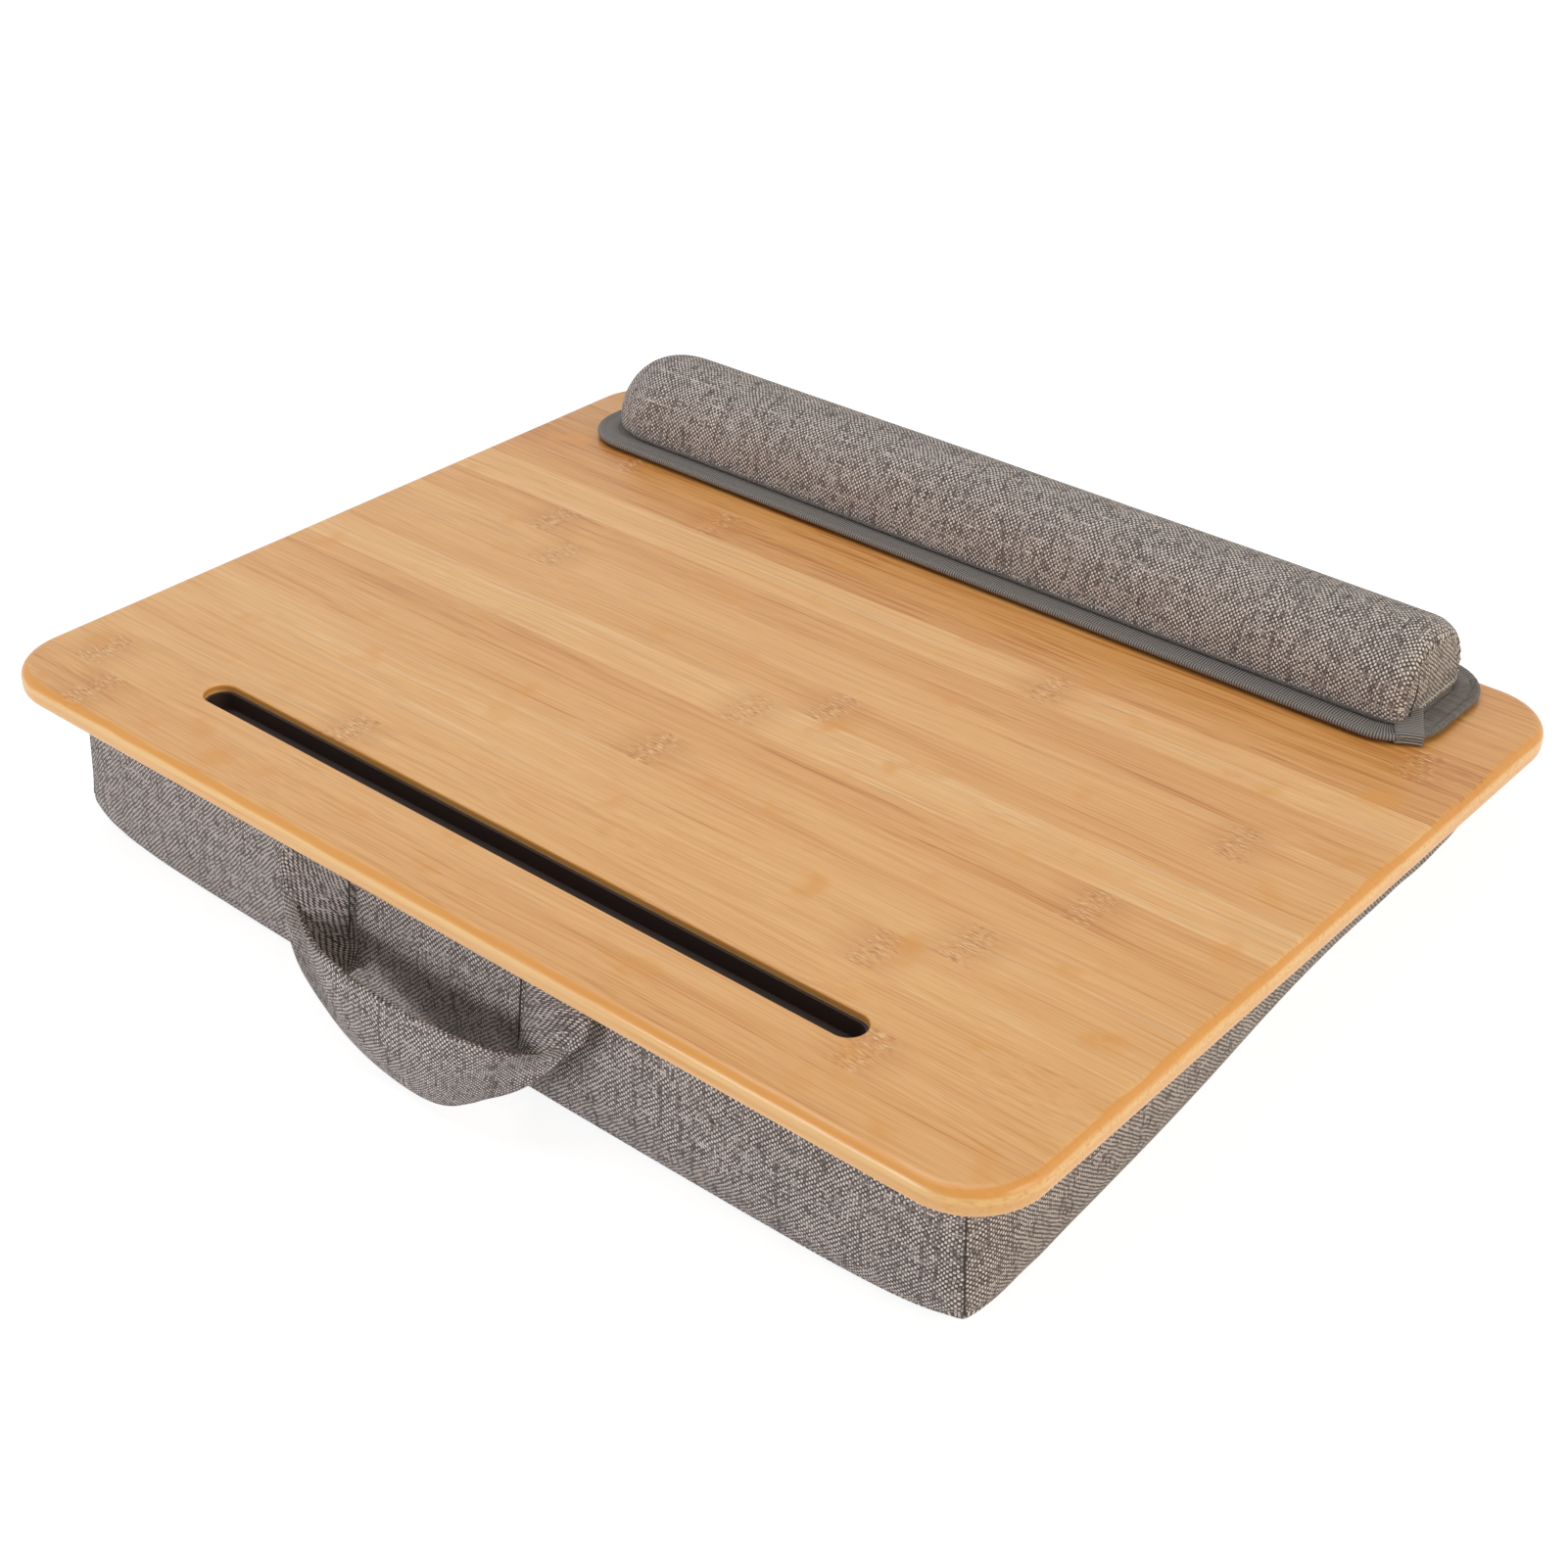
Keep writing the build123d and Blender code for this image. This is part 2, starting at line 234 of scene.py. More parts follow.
def lay_over(
    recipe: Recipe, under: Paint, over: Paint, pattern: Socket, limits: Triple
) -> Socket:
    """Lay one colour over another where a pattern is high.

    Args:
        recipe: The material.
        under: The colour below.
        over: The colour on top.
        pattern: The pattern.
        limits: The pattern's levels where the upper colour begins and where it is full,
            and its share where it is full.

    Returns:
        The mixed colour.
    """
    start, full, most = limits
    share = recipe.add(
        "MapRange",
        {"Value": pattern, "From Min": start, "From Max": full, "To Max": most},
        interpolation_type="SMOOTHSTEP",
    )
    colours = {0: share, MIX_COLOUR_A: under, MIX_COLOUR_B: over}
    return recipe.add("Mix", colours, MIX_COLOUR_OUT, data_type="RGBA")


@dataclass(frozen=True)
class BoardFrame:
    """The board's own frame: x and y on its top face from the centre, z along its normal."""

    wedge: float = math.radians(5.0)
    thickness: float = 10.5 * MM

    def matrix(self) -> Matrix:
        """Place the board's frame.

        Returns:
            The transform from the board's frame to the object's.
        """
        low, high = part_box("tray_board")
        turn = Matrix.Rotation(-self.wedge, 4, "X")
        normal = turn @ Vector((0, 0, 1))
        origin = (low + high) / 2 + normal * self.thickness / 2
        return Matrix.Translation(origin) @ turn


BOARD = BoardFrame()
TRAY = BOARD.matrix()
UNTRAY = TRAY.inverted()


@dataclass(frozen=True)
class Strip:
    """One bamboo strip: its tone, from dark at 0 to pale at 1, and its knuckles' x in mm."""

    tone: float
    first_knuckle: float
    second_knuckle: float = 400.0


@dataclass(frozen=True)
class LacqueredBamboo:
    """Laminated bamboo under a satin lacquer.

    Strips about 20 mm wide run along the board, each with its own tone, fine straight
    fibres and a knuckle where the cane had a node. The lacquer gives a soft broad shine.
    The rounded rim cuts through the plies, so its upper part is darker and orange.
    Below it a pale band is a painted highlight, and the side's pale tone is partly its
    own and partly painted reflected light.
    Sizes are in mm.
    """

    strip_width: float = 20.4
    first_strip_edge: float = -171.3
    # Strips from the front edge to the back, placed as the board's own are
    strips: tuple[Strip, ...] = (
        Strip(0.50, -181.0),
        Strip(0.62, -201.0, 155.0),
        Strip(0.62, -90.0),
        Strip(0.68, 127.0),
        Strip(0.70, 147.0),
        Strip(0.56, -3.0),
        Strip(0.46, 164.0),
        Strip(0.80, 5.0),
        Strip(0.52, 27.0),
        Strip(0.64, 180.0, -130.0),
        Strip(0.42, -153.0),
        Strip(0.74, 77.0),
        Strip(0.28, -101.0),
        # Darker than its neighbours: partly its own tone, partly painted shade from the wrist
        # rest just behind it
        Strip(0.22, -165.0, 202.0),
        Strip(0.30, 60.0),
        Strip(0.42, -40.0),
        Strip(0.24, 120.0),
    )
    # How far the grain slides along the board from one strip to the next
    grain_slide: float = 171.0
    wander_length: float = 130.0
    wander: float = 7.0
    # The sizes of the patterns' marks, along the board first
    fibre: Pair = (70.0, 0.8)
    streak: Pair = (160.0, 2.6)
    cloud: Pair = (180.0, 14.0)
    fleck: Pair = (3.4, 0.7)
    vessel: Triple = (70.0, 1.7, 1.3)
    # How much the clouds, the fibres and the streaks change the tone
    weights: Triple = (0.55, 1.6, 1.0)
    ragged_pitch: float = 1.1
    ragged_reach: float = 6.5
    # How far from a knuckle its flecks and its shade are full, and where they end
    knuckle_reach: Pair = (1.5, 8.0)
    shade_reach: Pair = (2.0, 20.0)
    knuckle_shade: float = 0.30
    # A pattern's levels where its lines begin and are full, and their share there
    streak_line: Triple = (0.57, 0.69, 0.36)
    fibre_line: Triple = (0.56, 0.68, 0.52)
    dark_fleck: Triple = (0.47, 0.39, 0.60)
    pale_fleck: Triple = (0.54, 0.62, 0.65)
    rim_vessel: Triple = (0.46, 0.74, 0.65)
    # How much of the fibres' relief shows, and its depth
    relief: Pair = (0.12, 0.15)
    rim_wobble: Triple = (24.0, 24.0, 1.5)
    rim_ragged: float = 0.8
    # The rim's depths where its plies begin to show, show fully, fade, and give way to the
    # painted highlight at the side
    rim_depths: tuple[float, ...] = (0.12, 0.45, 1.7, 2.6)
    rim_deepest: float = 11.0
    rim_share: float = 0.80
    deep: str = "#C07A36"
    dark: str = "#D9984F"
    mid: str = "#E8AD69"
    pale: str = "#F1BB77"
    palest: str = "#F7CC91"
    streak_brown: str = "#C27A30"
    fleck_pale: str = "#F6D29C"
    fleck_dark: str = "#B0682A"
    rim_orange: str = "#E29A3E"
    # A painted highlight band along the rim, below the orange ply
    rim_painted_highlight: str = "#F4C880"
    # The side's pale tone, partly its own and partly painted reflected light
    side_pale_and_painted_reflection: str = "#E9B36E"

    def make(self) -> Material:
        """Build the material.

        Returns:
            The finished material.
        """
        recipe = start_material(
            "lacquered_bamboo", Roughness=0.45, Coat_Weight=0.35, Coat_Roughness=0.2
        )
        place = recipe.add(
            "Mapping",
            {
                "Vector": recipe.add("TexCoord", {}, "Object"),
                "Location": tuple(UNTRAY.to_translation() * PER_METRE),
                "Rotation": (BOARD.wedge, 0, 0),
                "Scale": (PER_METRE, PER_METRE, PER_METRE),
            },
        )
        x, y, z = recipe.add("SeparateXYZ", {0: place}).node.outputs
        first = self.first_strip_edge
        last = first + self.strip_width * len(self.strips)
        share = recipe.add("MapRange", {"Value": y, "From Min": first, "From Max": last})
        fibres, streaks = self._grain(recipe, place, share)
        wood = self._wood(recipe, place, share, fibres, streaks)
        flecks = clouds(recipe, place, (*self.fleck, self.fleck[1]), 2.0)
        for name in ("first_knuckle", "second_knuckle"):
            away = self._knuckle_distance(recipe, share, x, name)
            wood = self._with_knuckle(recipe, wood, away, y, flecks)
        wood = self._with_rim(recipe, wood, z, place)
        return recipe.finish(wood, fibres, *self.relief)

    def _grain(self, recipe: Recipe, place: Socket, share: Socket) -> list[Socket]:
        """Draw the grain, which starts anew on each strip.

        Args:
            recipe: The material.
            place: The point in the board's frame.
            share: How far back on the board it is, from 0 to 1.

        Returns:
            The fine fibres and the broader streaks, both along the board.
        """
        count = float(len(self.strips))
        index = recipe.add("Math", {0: share, 1: count}, operation="MULTIPLY")
        index = recipe.add("Math", {0: index}, operation="FLOOR")
        slide = recipe.add("Math", {0: index, 1: self.grain_slide}, operation="MULTIPLY")
        slide = recipe.add("CombineXYZ", {"X": slide})
        moved = recipe.add("VectorMath", {0: place, 1: slide}, operation="ADD")
        bends = {"Vector": moved, "Scale": 1 / self.wander_length, "Detail": 1.0}
        bend = recipe.add("TexNoise", bends, "Color")
        reach = (0.0, self.wander, self.wander)
        bend = recipe.add("VectorMath", {0: bend, 1: reach}, operation="MULTIPLY")
        moved = recipe.add("VectorMath", {0: moved, 1: bend}, operation="ADD")
        layers = ((self.fibre, 3.0), (self.streak, 4.0))
        return [
            clouds(recipe, moved, (length, pitch, pitch), detail)
            for (length, pitch), detail in layers
        ]

    def _wood(
        self, recipe: Recipe, place: Socket, share: Socket, fibres: Socket, streaks: Socket
    ) -> Socket:
        """Colour the strips.

        Args:
            recipe: The material.
            place: The point in the board's frame.
            share: How far back on the board it is, from 0 to 1.
            fibres: The fine fibres.
            streaks: The broader streaks.

        Returns:
            The colour.
        """
        step = 1 / len(self.strips)
        levels = [(i * step, strip.tone) for i, strip in enumerate(self.strips)]
        tone = set_stops(recipe.add("ValToRGB", {0: share}), levels, steps=True)
        cloud = clouds(recipe, place, (*self.cloud, self.cloud[1]), 2.0)
        for layer, weight in zip((cloud, fibres, streaks), self.weights):
            change = {0: layer, 1: weight, 2: -weight / 2}
            change = recipe.add("Math", change, operation="MULTIPLY_ADD")
            tone = recipe.add("Math", {0: tone, 1: change}, operation="ADD")
        tones = (self.deep, self.dark, self.mid, self.pale, self.palest)
        stops = zip((0.0, 0.2, 0.5, 0.8, 1.0), tones)
        wood = set_stops(recipe.add("ValToRGB", {0: tone}), stops)
        brown = srgb(self.streak_brown)
        wood = lay_over(recipe, wood, brown, streaks, self.streak_line)
        return lay_over(recipe, wood, brown, fibres, self.fibre_line)

    def _knuckle_distance(self, recipe: Recipe, share: Socket, x: Socket, name: str) -> Socket:
        """Measure along the board from its strip's knuckle.

        Args:
            recipe: The material.
            share: How far back on the board the point is, from 0 to 1.
            x: Its place along the board.
            name: The strips' field that holds the knuckle.

        Returns:
            The distance in mm, to the right positive.
        """
        half_span = 500.0
        step = 1 / len(self.strips)
        levels = [
            (i * step, (getattr(strip, name) + half_span) / (2 * half_span))
            for i, strip in enumerate(self.strips)
        ]
        centre = set_stops(recipe.add("ValToRGB", {0: share}), levels, steps=True)
        centre = {0: centre, 1: 2 * half_span, 2: -half_span}
        centre = recipe.add("Math", centre, operation="MULTIPLY_ADD")
        return recipe.add("Math", {0: x, 1: centre}, operation="SUBTRACT")

    def _with_knuckle(
        self, recipe: Recipe, wood: Socket, away: Socket, y: Socket, flecks: Socket
    ) -> Socket:
        """Draw a knuckle on each strip, where the fibres break up.

        Args:
            recipe: The material.
            wood: The colour so far.
            away: The distance from the knuckle.
            y: The place across the board.
            flecks: The pattern of short broken fibres.

        Returns:
            The colour with a shade round the knuckle and dark and pale strokes in it.
        """
        waves = {"W": y, "Scale": 1 / self.ragged_pitch, "Detail": 1.0}
        ragged = recipe.add("TexNoise", waves, "Fac", noise_dimensions="1D")
        ragged = {0: ragged, 1: 2 * self.ragged_reach, 2: -self.ragged_reach}
        ragged = recipe.add("Math", ragged, operation="MULTIPLY_ADD")
        torn = recipe.add("Math", {0: away, 1: ragged}, operation="ADD")
        dark, pale = (
            recipe.add(
                "MapRange",
                {"Value": flecks, "From Min": none, "From Max": whole},
                interpolation_type="SMOOTHSTEP",
            )
            for none, whole, _ in (self.dark_fleck, self.pale_fleck)
        )
        for distance, (inner, outer), stroke, most, colour in (
            (away, self.shade_reach, 1.0, self.knuckle_shade, self.streak_brown),
            (torn, self.knuckle_reach, dark, self.dark_fleck[2], self.fleck_dark),
            (torn, self.knuckle_reach, pale, self.pale_fleck[2], self.fleck_pale),
        ):
            far = recipe.add("Math", {0: distance}, operation="ABSOLUTE")
            near = recipe.add(
                "MapRange",
                {"Value": far, "From Min": outer, "From Max": inner, "To Max": most},
                interpolation_type="SMOOTHSTEP",
            )
            mask = recipe.add("Math", {0: near, 1: stroke}, operation="MULTIPLY")
            colours = {0: mask, MIX_COLOUR_A: wood, MIX_COLOUR_B: srgb(colour)}
            wood = recipe.add("Mix", colours, MIX_COLOUR_OUT, data_type="RGBA")
        return wood

    def _with_rim(self, recipe: Recipe, wood: Socket, z: Socket, place: Socket) -> Socket:
        """Draw the plies that the rounded rim lays bare, with a painted highlight band below
        the orange ply, a pale side that is partly painted reflected light, and a darker band
        at the lower edge.

        Args:
            recipe: The material.
            wood: The colour so far.
            z: The height over the board's top face.
            place: The point in the board's frame.

        Returns:
            The colour.
        """
        start, full, fade, side = self.rim_depths
        deepest = self.rim_deepest
        wobble = {
            0: clouds(recipe, place, self.rim_wobble, 3.0),
            1: 2 * self.rim_ragged,
            2: -self.rim_ragged,
        }
        wobble = recipe.add("Math", wobble, operation="MULTIPLY_ADD")
        depth = recipe.add("Math", {0: wobble, 1: z}, operation="SUBTRACT")
        scaled = recipe.add("MapRange", {"Value": depth, "From Max": deepest})
        # By depth: orange ply, painted highlight band, pale side that is partly painted
        # reflected light, darker lower edge
        plies = (
            (full / deepest, self.rim_orange),
            (fade / deepest, self.rim_orange),
            (side / deepest, self.rim_painted_highlight),
            (0.34, self.rim_painted_highlight),
            (0.48, self.side_pale_and_painted_reflection),
            (0.76, self.side_pale_and_painted_reflection),
            (0.86, self.dark),
            (1.0, self.dark),
        )
        colours = set_stops(recipe.add("ValToRGB", {0: scaled}), plies)
        vessels = clouds(recipe, place, self.vessel, 2.0)
        orange = srgb(self.rim_orange)
        colours = lay_over(recipe, colours, orange, vessels, self.rim_vessel)
        return lay_over(recipe, wood, colours, depth, (start, full, self.rim_share))


@dataclass(frozen=True)
class PlainWeave:
    """Polyester cloth in plain weave from yarns of mixed grey and beige fibres.

    Each thread passes over one and under the next, so the cloth is a checkerboard of
    small rounded floats with painted shade in the gaps between them, and each yarn
    changes tone along its length.
    The threads are drawn about half as coarse again as real ones, so that they show.
    """

    name: str
    thread_pitch: float
    light: str
    mid: str
    dark: str
    # The painted shade in the gaps between the threads
    gap: str
    contrast: float = 2.3
    float_contrast: float = 0.75
    relief: float = 0.30
    relief_share: float = 0.9
    # How far the threads wander, in threads, and over how much of a wave each
    wander: float = 0.5
    wander_rate: float = 0.11
    # How high a thread stays at a float's ends, as a share
    crown: float = 0.45
    # The heights where the yarn begins to show and covers the painted gap shade, and its share
    # there
    yarn_line: Triple = (0.04, 0.5, 1.0)
    # The lengths, in threads, over which a yarn changes its tone
    fleck_length: float = 5.0
    shade_length: float = 60.0
    # How far apart two neighbouring yarns read the pattern of tones
    yarn_step: float = 3.7

    def make(self) -> Material:
        """Build the material.

        Returns:
            The finished material.
        """
        recipe = start_material(
            self.name,
            Roughness=0.9,
            Specular_IOR_Level=0.25,
            Sheen_Weight=0.12,
            Sheen_Roughness=0.5,
        )
        cells = self._cells(recipe)
        index = recipe.add("VectorMath", {0: cells}, operation="FLOOR")
        within = recipe.add("VectorMath", {0: cells}, operation="FRACTION")
        turn = recipe.add("VectorMath", {0: within, "Scale": math.pi}, operation="SCALE")
        domes = recipe.add("VectorMath", {0: turn}, operation="SINE")
        warp_dome, weft_dome, _ = recipe.add("SeparateXYZ", {0: domes}).node.outputs
        column, row, _ = recipe.add("SeparateXYZ", {0: index}).node.outputs
        total = recipe.add("Math", {0: column, 1: row}, operation="ADD")
        weft_on_top = recipe.add("Math", {0: total, 1: 2.0}, operation="FLOORED_MODULO")
        height = self._height(recipe, warp_dome, weft_dome, weft_on_top)
        tone = self._tone(recipe, cells, column, row, weft_on_top)
        stops = zip((0.1, 0.5, 0.9), (self.dark, self.mid, self.light))
        yarn = set_stops(recipe.add("ValToRGB", {0: tone}), stops)
        # Painted shade darkens the cloth where its threads dip into the gaps
        colour = lay_over(recipe, srgb(self.gap), yarn, height, self.yarn_line)
        return recipe.finish(colour, height, self.relief_share, self.relief)

    def _cells(self, recipe: Recipe) -> Socket:
        """Count the threads along the cloth and across it, with their small wander.

        Args:
            recipe: The material.

        Returns:
            The place on the cloth, counted in threads.
        """
        uv = recipe.add("TexCoord", {}, "UV")
        per_metre = PER_METRE / self.thread_pitch
        cells = recipe.add("VectorMath", {0: uv, "Scale": per_metre}, operation="SCALE")
        drift = {"Vector": cells, "Scale": self.wander_rate, "Detail": 2.0}
        drift = {0: recipe.add("TexNoise", drift, "Color"), "Scale": 4 * self.wander}
        drift = recipe.add("VectorMath", drift, operation="SCALE")
        return recipe.add("VectorMath", {0: cells, 1: drift}, operation="ADD")

    def _height(self, recipe: Recipe, warp: Socket, weft: Socket, weft_on_top: Socket) -> Socket:
        """Shape the upper thread's rounded float.

        Args:
            recipe: The material.
            warp: The warp thread's round section, from 0 to 1.
            weft: The weft thread's.
            weft_on_top: 1 where the weft lies on top, and 0 elsewhere.

        Returns:
            The cloth's height, from 0 to 1.
        """
        floats = []
        for section, along in ((warp, weft), (weft, warp)):
            crest = {0: along, 1: 1 - self.crown, 2: self.crown}
            crest = recipe.add("Math", crest, operation="MULTIPLY_ADD")
            floats.append(recipe.add("Math", {0: section, 1: crest}, operation="MULTIPLY"))
        change = recipe.add("Math", {0: floats[1], 1: floats[0]}, operation="SUBTRACT")
        upper = {0: change, 1: weft_on_top, 2: floats[0]}
        return recipe.add("Math", upper, operation="MULTIPLY_ADD")

    def _tone(
        self, recipe: Recipe, cells: Socket, column: Socket, row: Socket, weft_on_top: Socket
    ) -> Socket:
        """Shade the upper yarn, which changes along it and from yarn to yarn.

        Args:
            recipe: The material.
            cells: The place on the cloth, counted in threads.
            column: The warp thread's number.
            row: The weft thread's number.
            weft_on_top: 1 where the weft lies on top, and 0 elsewhere.

        Returns:
            The tone, from dark at 0 to light at 1.
        """
        along_weft, along_warp, _ = recipe.add("SeparateXYZ", {0: cells}).node.outputs
        tones = []
        for length, seed in ((self.fleck_length, 0.0), (self.shade_length, 41.0)):
            warp = recipe.add("CombineXYZ", {"X": column, "Y": along_warp, "Z": seed})
            weft = recipe.add("CombineXYZ", {"X": row, "Y": along_weft, "Z": seed + 7.0})
            pair = {0: weft_on_top, MIX_VECTOR_A: warp, MIX_VECTOR_B: weft}
            upper = recipe.add("Mix", pair, MIX_VECTOR_OUT, data_type="VECTOR")
            tones.append(clouds(recipe, upper, (1 / self.yarn_step, length, 1.0), 1.0))
        both = recipe.add("Math", {0: tones[1], 1: 0.5, 2: tones[0]}, operation="MULTIPLY_ADD")
        middle = 0.5 + self.float_contrast / 2 - 0.75 * self.contrast
        spread = {0: both, 1: self.contrast, 2: middle}
        spread = recipe.add("Math", spread, operation="MULTIPLY_ADD")
        tone = {0: weft_on_top, 1: -self.float_contrast, 2: spread}
        return recipe.add("Math", tone, operation="MULTIPLY_ADD")


@dataclass(frozen=True)
class GrosgrainTape:
    """Polyester grosgrain tape: close round ribs across it, with painted shade in the grooves
    between them and a slight silky shine.

    Sizes are in mm.
    """

    rib_pitch: float = 1.1
    # How far the ribs run before they bend, and by how much, in radians of their wave
    drift_pitch: float = 6.0
    drift: float = 2.2
    # One pick's size along the tape and across it
    pick: Pair = (0.9, 0.5)
    rib: str = "#9A9590"
    # Painted shade in the grooves between the ribs
    groove_painted_shade: str = "#3F3B39"
    relief: float = 0.30
    relief_share: float = 0.9

    def make(self) -> Material:
        """Build the material.

        Returns:
            The finished material.
        """
        recipe = start_material(
            "grosgrain_polyester_tape",
            Roughness=0.6,
            Specular_IOR_Level=0.4,
            Sheen_Weight=0.15,
            Sheen_Roughness=0.4,
        )
        uv = recipe.add("TexCoord", {}, "UV")
        along = recipe.add("SeparateXYZ", {0: uv})
        drift = {"Vector": uv, "Scale": PER_METRE / self.drift_pitch, "Detail": 1.0}
        drift = recipe.add("TexNoise", drift, "Fac")
        rate = 2 * math.pi * PER_METRE / self.rib_pitch
        turns = recipe.add("Math", {0: along, 1: rate}, operation="MULTIPLY")
        turns = {0: drift, 1: self.drift, 2: turns}
        turns = recipe.add("Math", turns, operation="MULTIPLY_ADD")
        wave = recipe.add("Math", {0: turns}, operation="SINE")
        height = recipe.add("Math", {0: wave, 1: 0.5, 2: 0.5}, operation="MULTIPLY_ADD")
        length, width = self.pick
        picks = clouds(recipe, uv, (length * MM, width * MM, 1.0), 2.0)
        tone = recipe.add("Math", {0: picks, 1: 0.5, 2: -0.25}, operation="MULTIPLY_ADD")
        tone = recipe.add("Math", {0: height, 1: tone}, operation="ADD")
        # The grooves get painted shade, the ribs their own colour
        stops = ((0.1, self.groove_painted_shade), (0.85, self.rib))
        colour = set_stops(recipe.add("ValToRGB", {0: tone}), stops)
        return recipe.finish(colour, height, self.relief_share, self.relief)


@dataclass(frozen=True)
class MottledSolid:
    """A plain material with a fine two-tone mottle and a matching relief.

    It serves what is one stuff all through: moulded liner, hardboard, foam, plated
    steel, sewing thread and hook tape. Grain and relief are in mm.
    """

    name: str
    base: str
    accent: str
    grain: float
    roughness: float
    metallic: float = 0.0
    relief: float = 0.05
    relief_share: float = 0.6
    # How much rougher and smoother the mottle makes it
    roughness_spread: float = 0.08
    stretch: Triple = (1.0, 1.0, 1.0)

    def make(self) -> Material:
        """Build the material.

        Returns:
            The finished material.
        """
        recipe = start_material(self.name, Metallic=self.metallic)
        place = recipe.add("TexCoord", {}, "Object")
        sizes = tuple(self.grain * MM / share for share in self.stretch)
        mottle = clouds(recipe, place, sizes, 3.0)
        stops = ((0.35, self.base), (0.7, self.accent))
        colour = set_stops(recipe.add("ValToRGB", {0: mottle}), stops)
        low = self.roughness - self.roughness_spread
        high = min(1.0, self.roughness + self.roughness_spread)
        rough = recipe.add("MapRange", {"Value": mottle, "To Min": low, "To Max": high})
        recipe.owner.node_tree.links.new(rough, recipe.shader.inputs["Roughness"])
        return recipe.finish(colour, mottle, self.relief_share, self.relief)


# Each cloth's last colour is the painted shade in the gaps between its threads
COVER_CLOTH = PlainWeave(
    "heather_polyester_plain_weave", 0.95, "#F0E5DD", "#A39893", "#625956", "#2C2726"
)
BASE_CLOTH = PlainWeave(
    "fine_polyester_mesh",
    0.8,
    "#949089",
    "#7E7A74",
    "#65615C",
    "#45413E",
    contrast=1.2,
    float_contrast=0.3,
    relief=0.15,
    wander=0.15,
)
# Moulding leaves a fine even texture, near black with a dull sheen
LINER = MottledSolid("moulded_black_abs", "#2A1C17", "#36261F", 0.6, 0.62, relief=0.04)
# Pressed fibres show as short brown flecks
HARDBOARD = MottledSolid(
    "pressed_hardboard", "#5A3E2A", "#7C5A3E", 1.2, 0.75, stretch=(0.5, 1.0, 1.0)
)
# The plating is a bright grey metal, a little cloudy
STEEL = MottledSolid(
    "zinc_plated_steel", "#B9BBBD", "#D2D3D4", 0.5, 0.32, metallic=1.0, relief=0.01
)
# Open cells make it cream, rough and pitted
FOAM = MottledSolid("open_cell_polyurethane_foam", "#D9D2BE", "#EFEBDD", 0.7, 0.95, relief=0.3)
# Its hooks are black bristles, drawn about as far apart as the real ones
HOOKS = MottledSolid("nylon_hook_tape", "#111112", "#2C2C2E", 0.8, 0.7, relief=0.5)
# Twisted thread is dark and nearly matt
THREAD = MottledSolid("bonded_sewing_thread", "#372F2D", "#4A413E", 0.4, 0.8, relief=0.1)


@dataclass
class Finishes:
    """Every finish on the object, built once."""

    bamboo: Material = field(default_factory=LacqueredBamboo().make)
    cover: Material = field(default_factory=COVER_CLOTH.make)
    base: Material = field(default_factory=BASE_CLOTH.make)
    binding: Material = field(default_factory=GrosgrainTape().make)
    liner: Material = field(default_factory=LINER.make)
    hardboard: Material = field(default_factory=HARDBOARD.make)
    steel: Material = field(default_factory=STEEL.make)
    foam: Material = field(default_factory=FOAM.make)
    hooks: Material = field(default_factory=HOOKS.make)
    thread: Material = field(default_factory=THREAD.make)


def new_piece(name: str, mesh: Mesh, finish: Material) -> Piece:
    """Turn a finished bmesh into an object with one material, smooth shaded.

    Args:
        name: The piece's name.
        mesh: The shape, in the object's frame. It is freed.
        finish: The material.

    Returns:
        The object, at the origin.
    """
    bmesh.ops.recalc_face_normals(mesh, faces=mesh.faces)
    closed = not any(edge.is_boundary for edge in mesh.edges)
    if closed and mesh.calc_volume(signed=True) < 0:
        bmesh.ops.reverse_faces(mesh, faces=mesh.faces)
    for face in mesh.faces:
        face.smooth = True
    data = bpy.data.meshes.new(name)
    mesh.to_mesh(data)
    mesh.free()
    data.materials.append(finish)
    piece = bpy.data.objects.new(name, data)
    bpy.context.scene.collection.objects.link(piece)
    return piece


def place_piece(piece: Piece, body: Body, slot: Slot, *nodes: str) -> None:
    """Ride a piece on a body and hide the frame's solids that it stands for.

    Args:
        piece: The piece.
        body: The body that it rides on.
        slot: Its material slot. Not used.
        nodes: The frame's nodes that it stands for.
    """
    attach(piece, body.value)
    if nodes:
        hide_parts(*nodes)
    log.info("%s: %d faces", piece.name, len(piece.data.polygons))


def dress_node(node: str, finish: Material) -> None:
    """Give one of the frame's own solids its finish.

    Args:
        node: The solid's name.
        finish: The material.
    """
    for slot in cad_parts[node].material_slots:
        slot.link = "OBJECT"
        slot.material = finish
    log.info("%s: dressed as %s", node, finish.name)


def smooth_finish(piece: Piece, levels: int = 1) -> None:
    """Round a piece with a subdivision surface.

    Args:
        piece: The piece.
        levels: How often each face is divided.
    """
    rounding = piece.modifiers.new("rounding", "SUBSURF")
    rounding.levels = levels
    rounding.render_levels = levels


def give_wall(piece: Piece, thickness: float, offset: float = 0.0) -> None:
    """Give a sheet of cloth its thickness.

    Args:
        piece: The sheet.
        thickness: How thick the cloth is, in metres.
        offset: 0 where the sheet is the cloth's middle, -1 where it is its outer side.
    """
    wall = piece.modifiers.new("cloth", "SOLIDIFY")
    wall.thickness = thickness
    wall.offset = offset


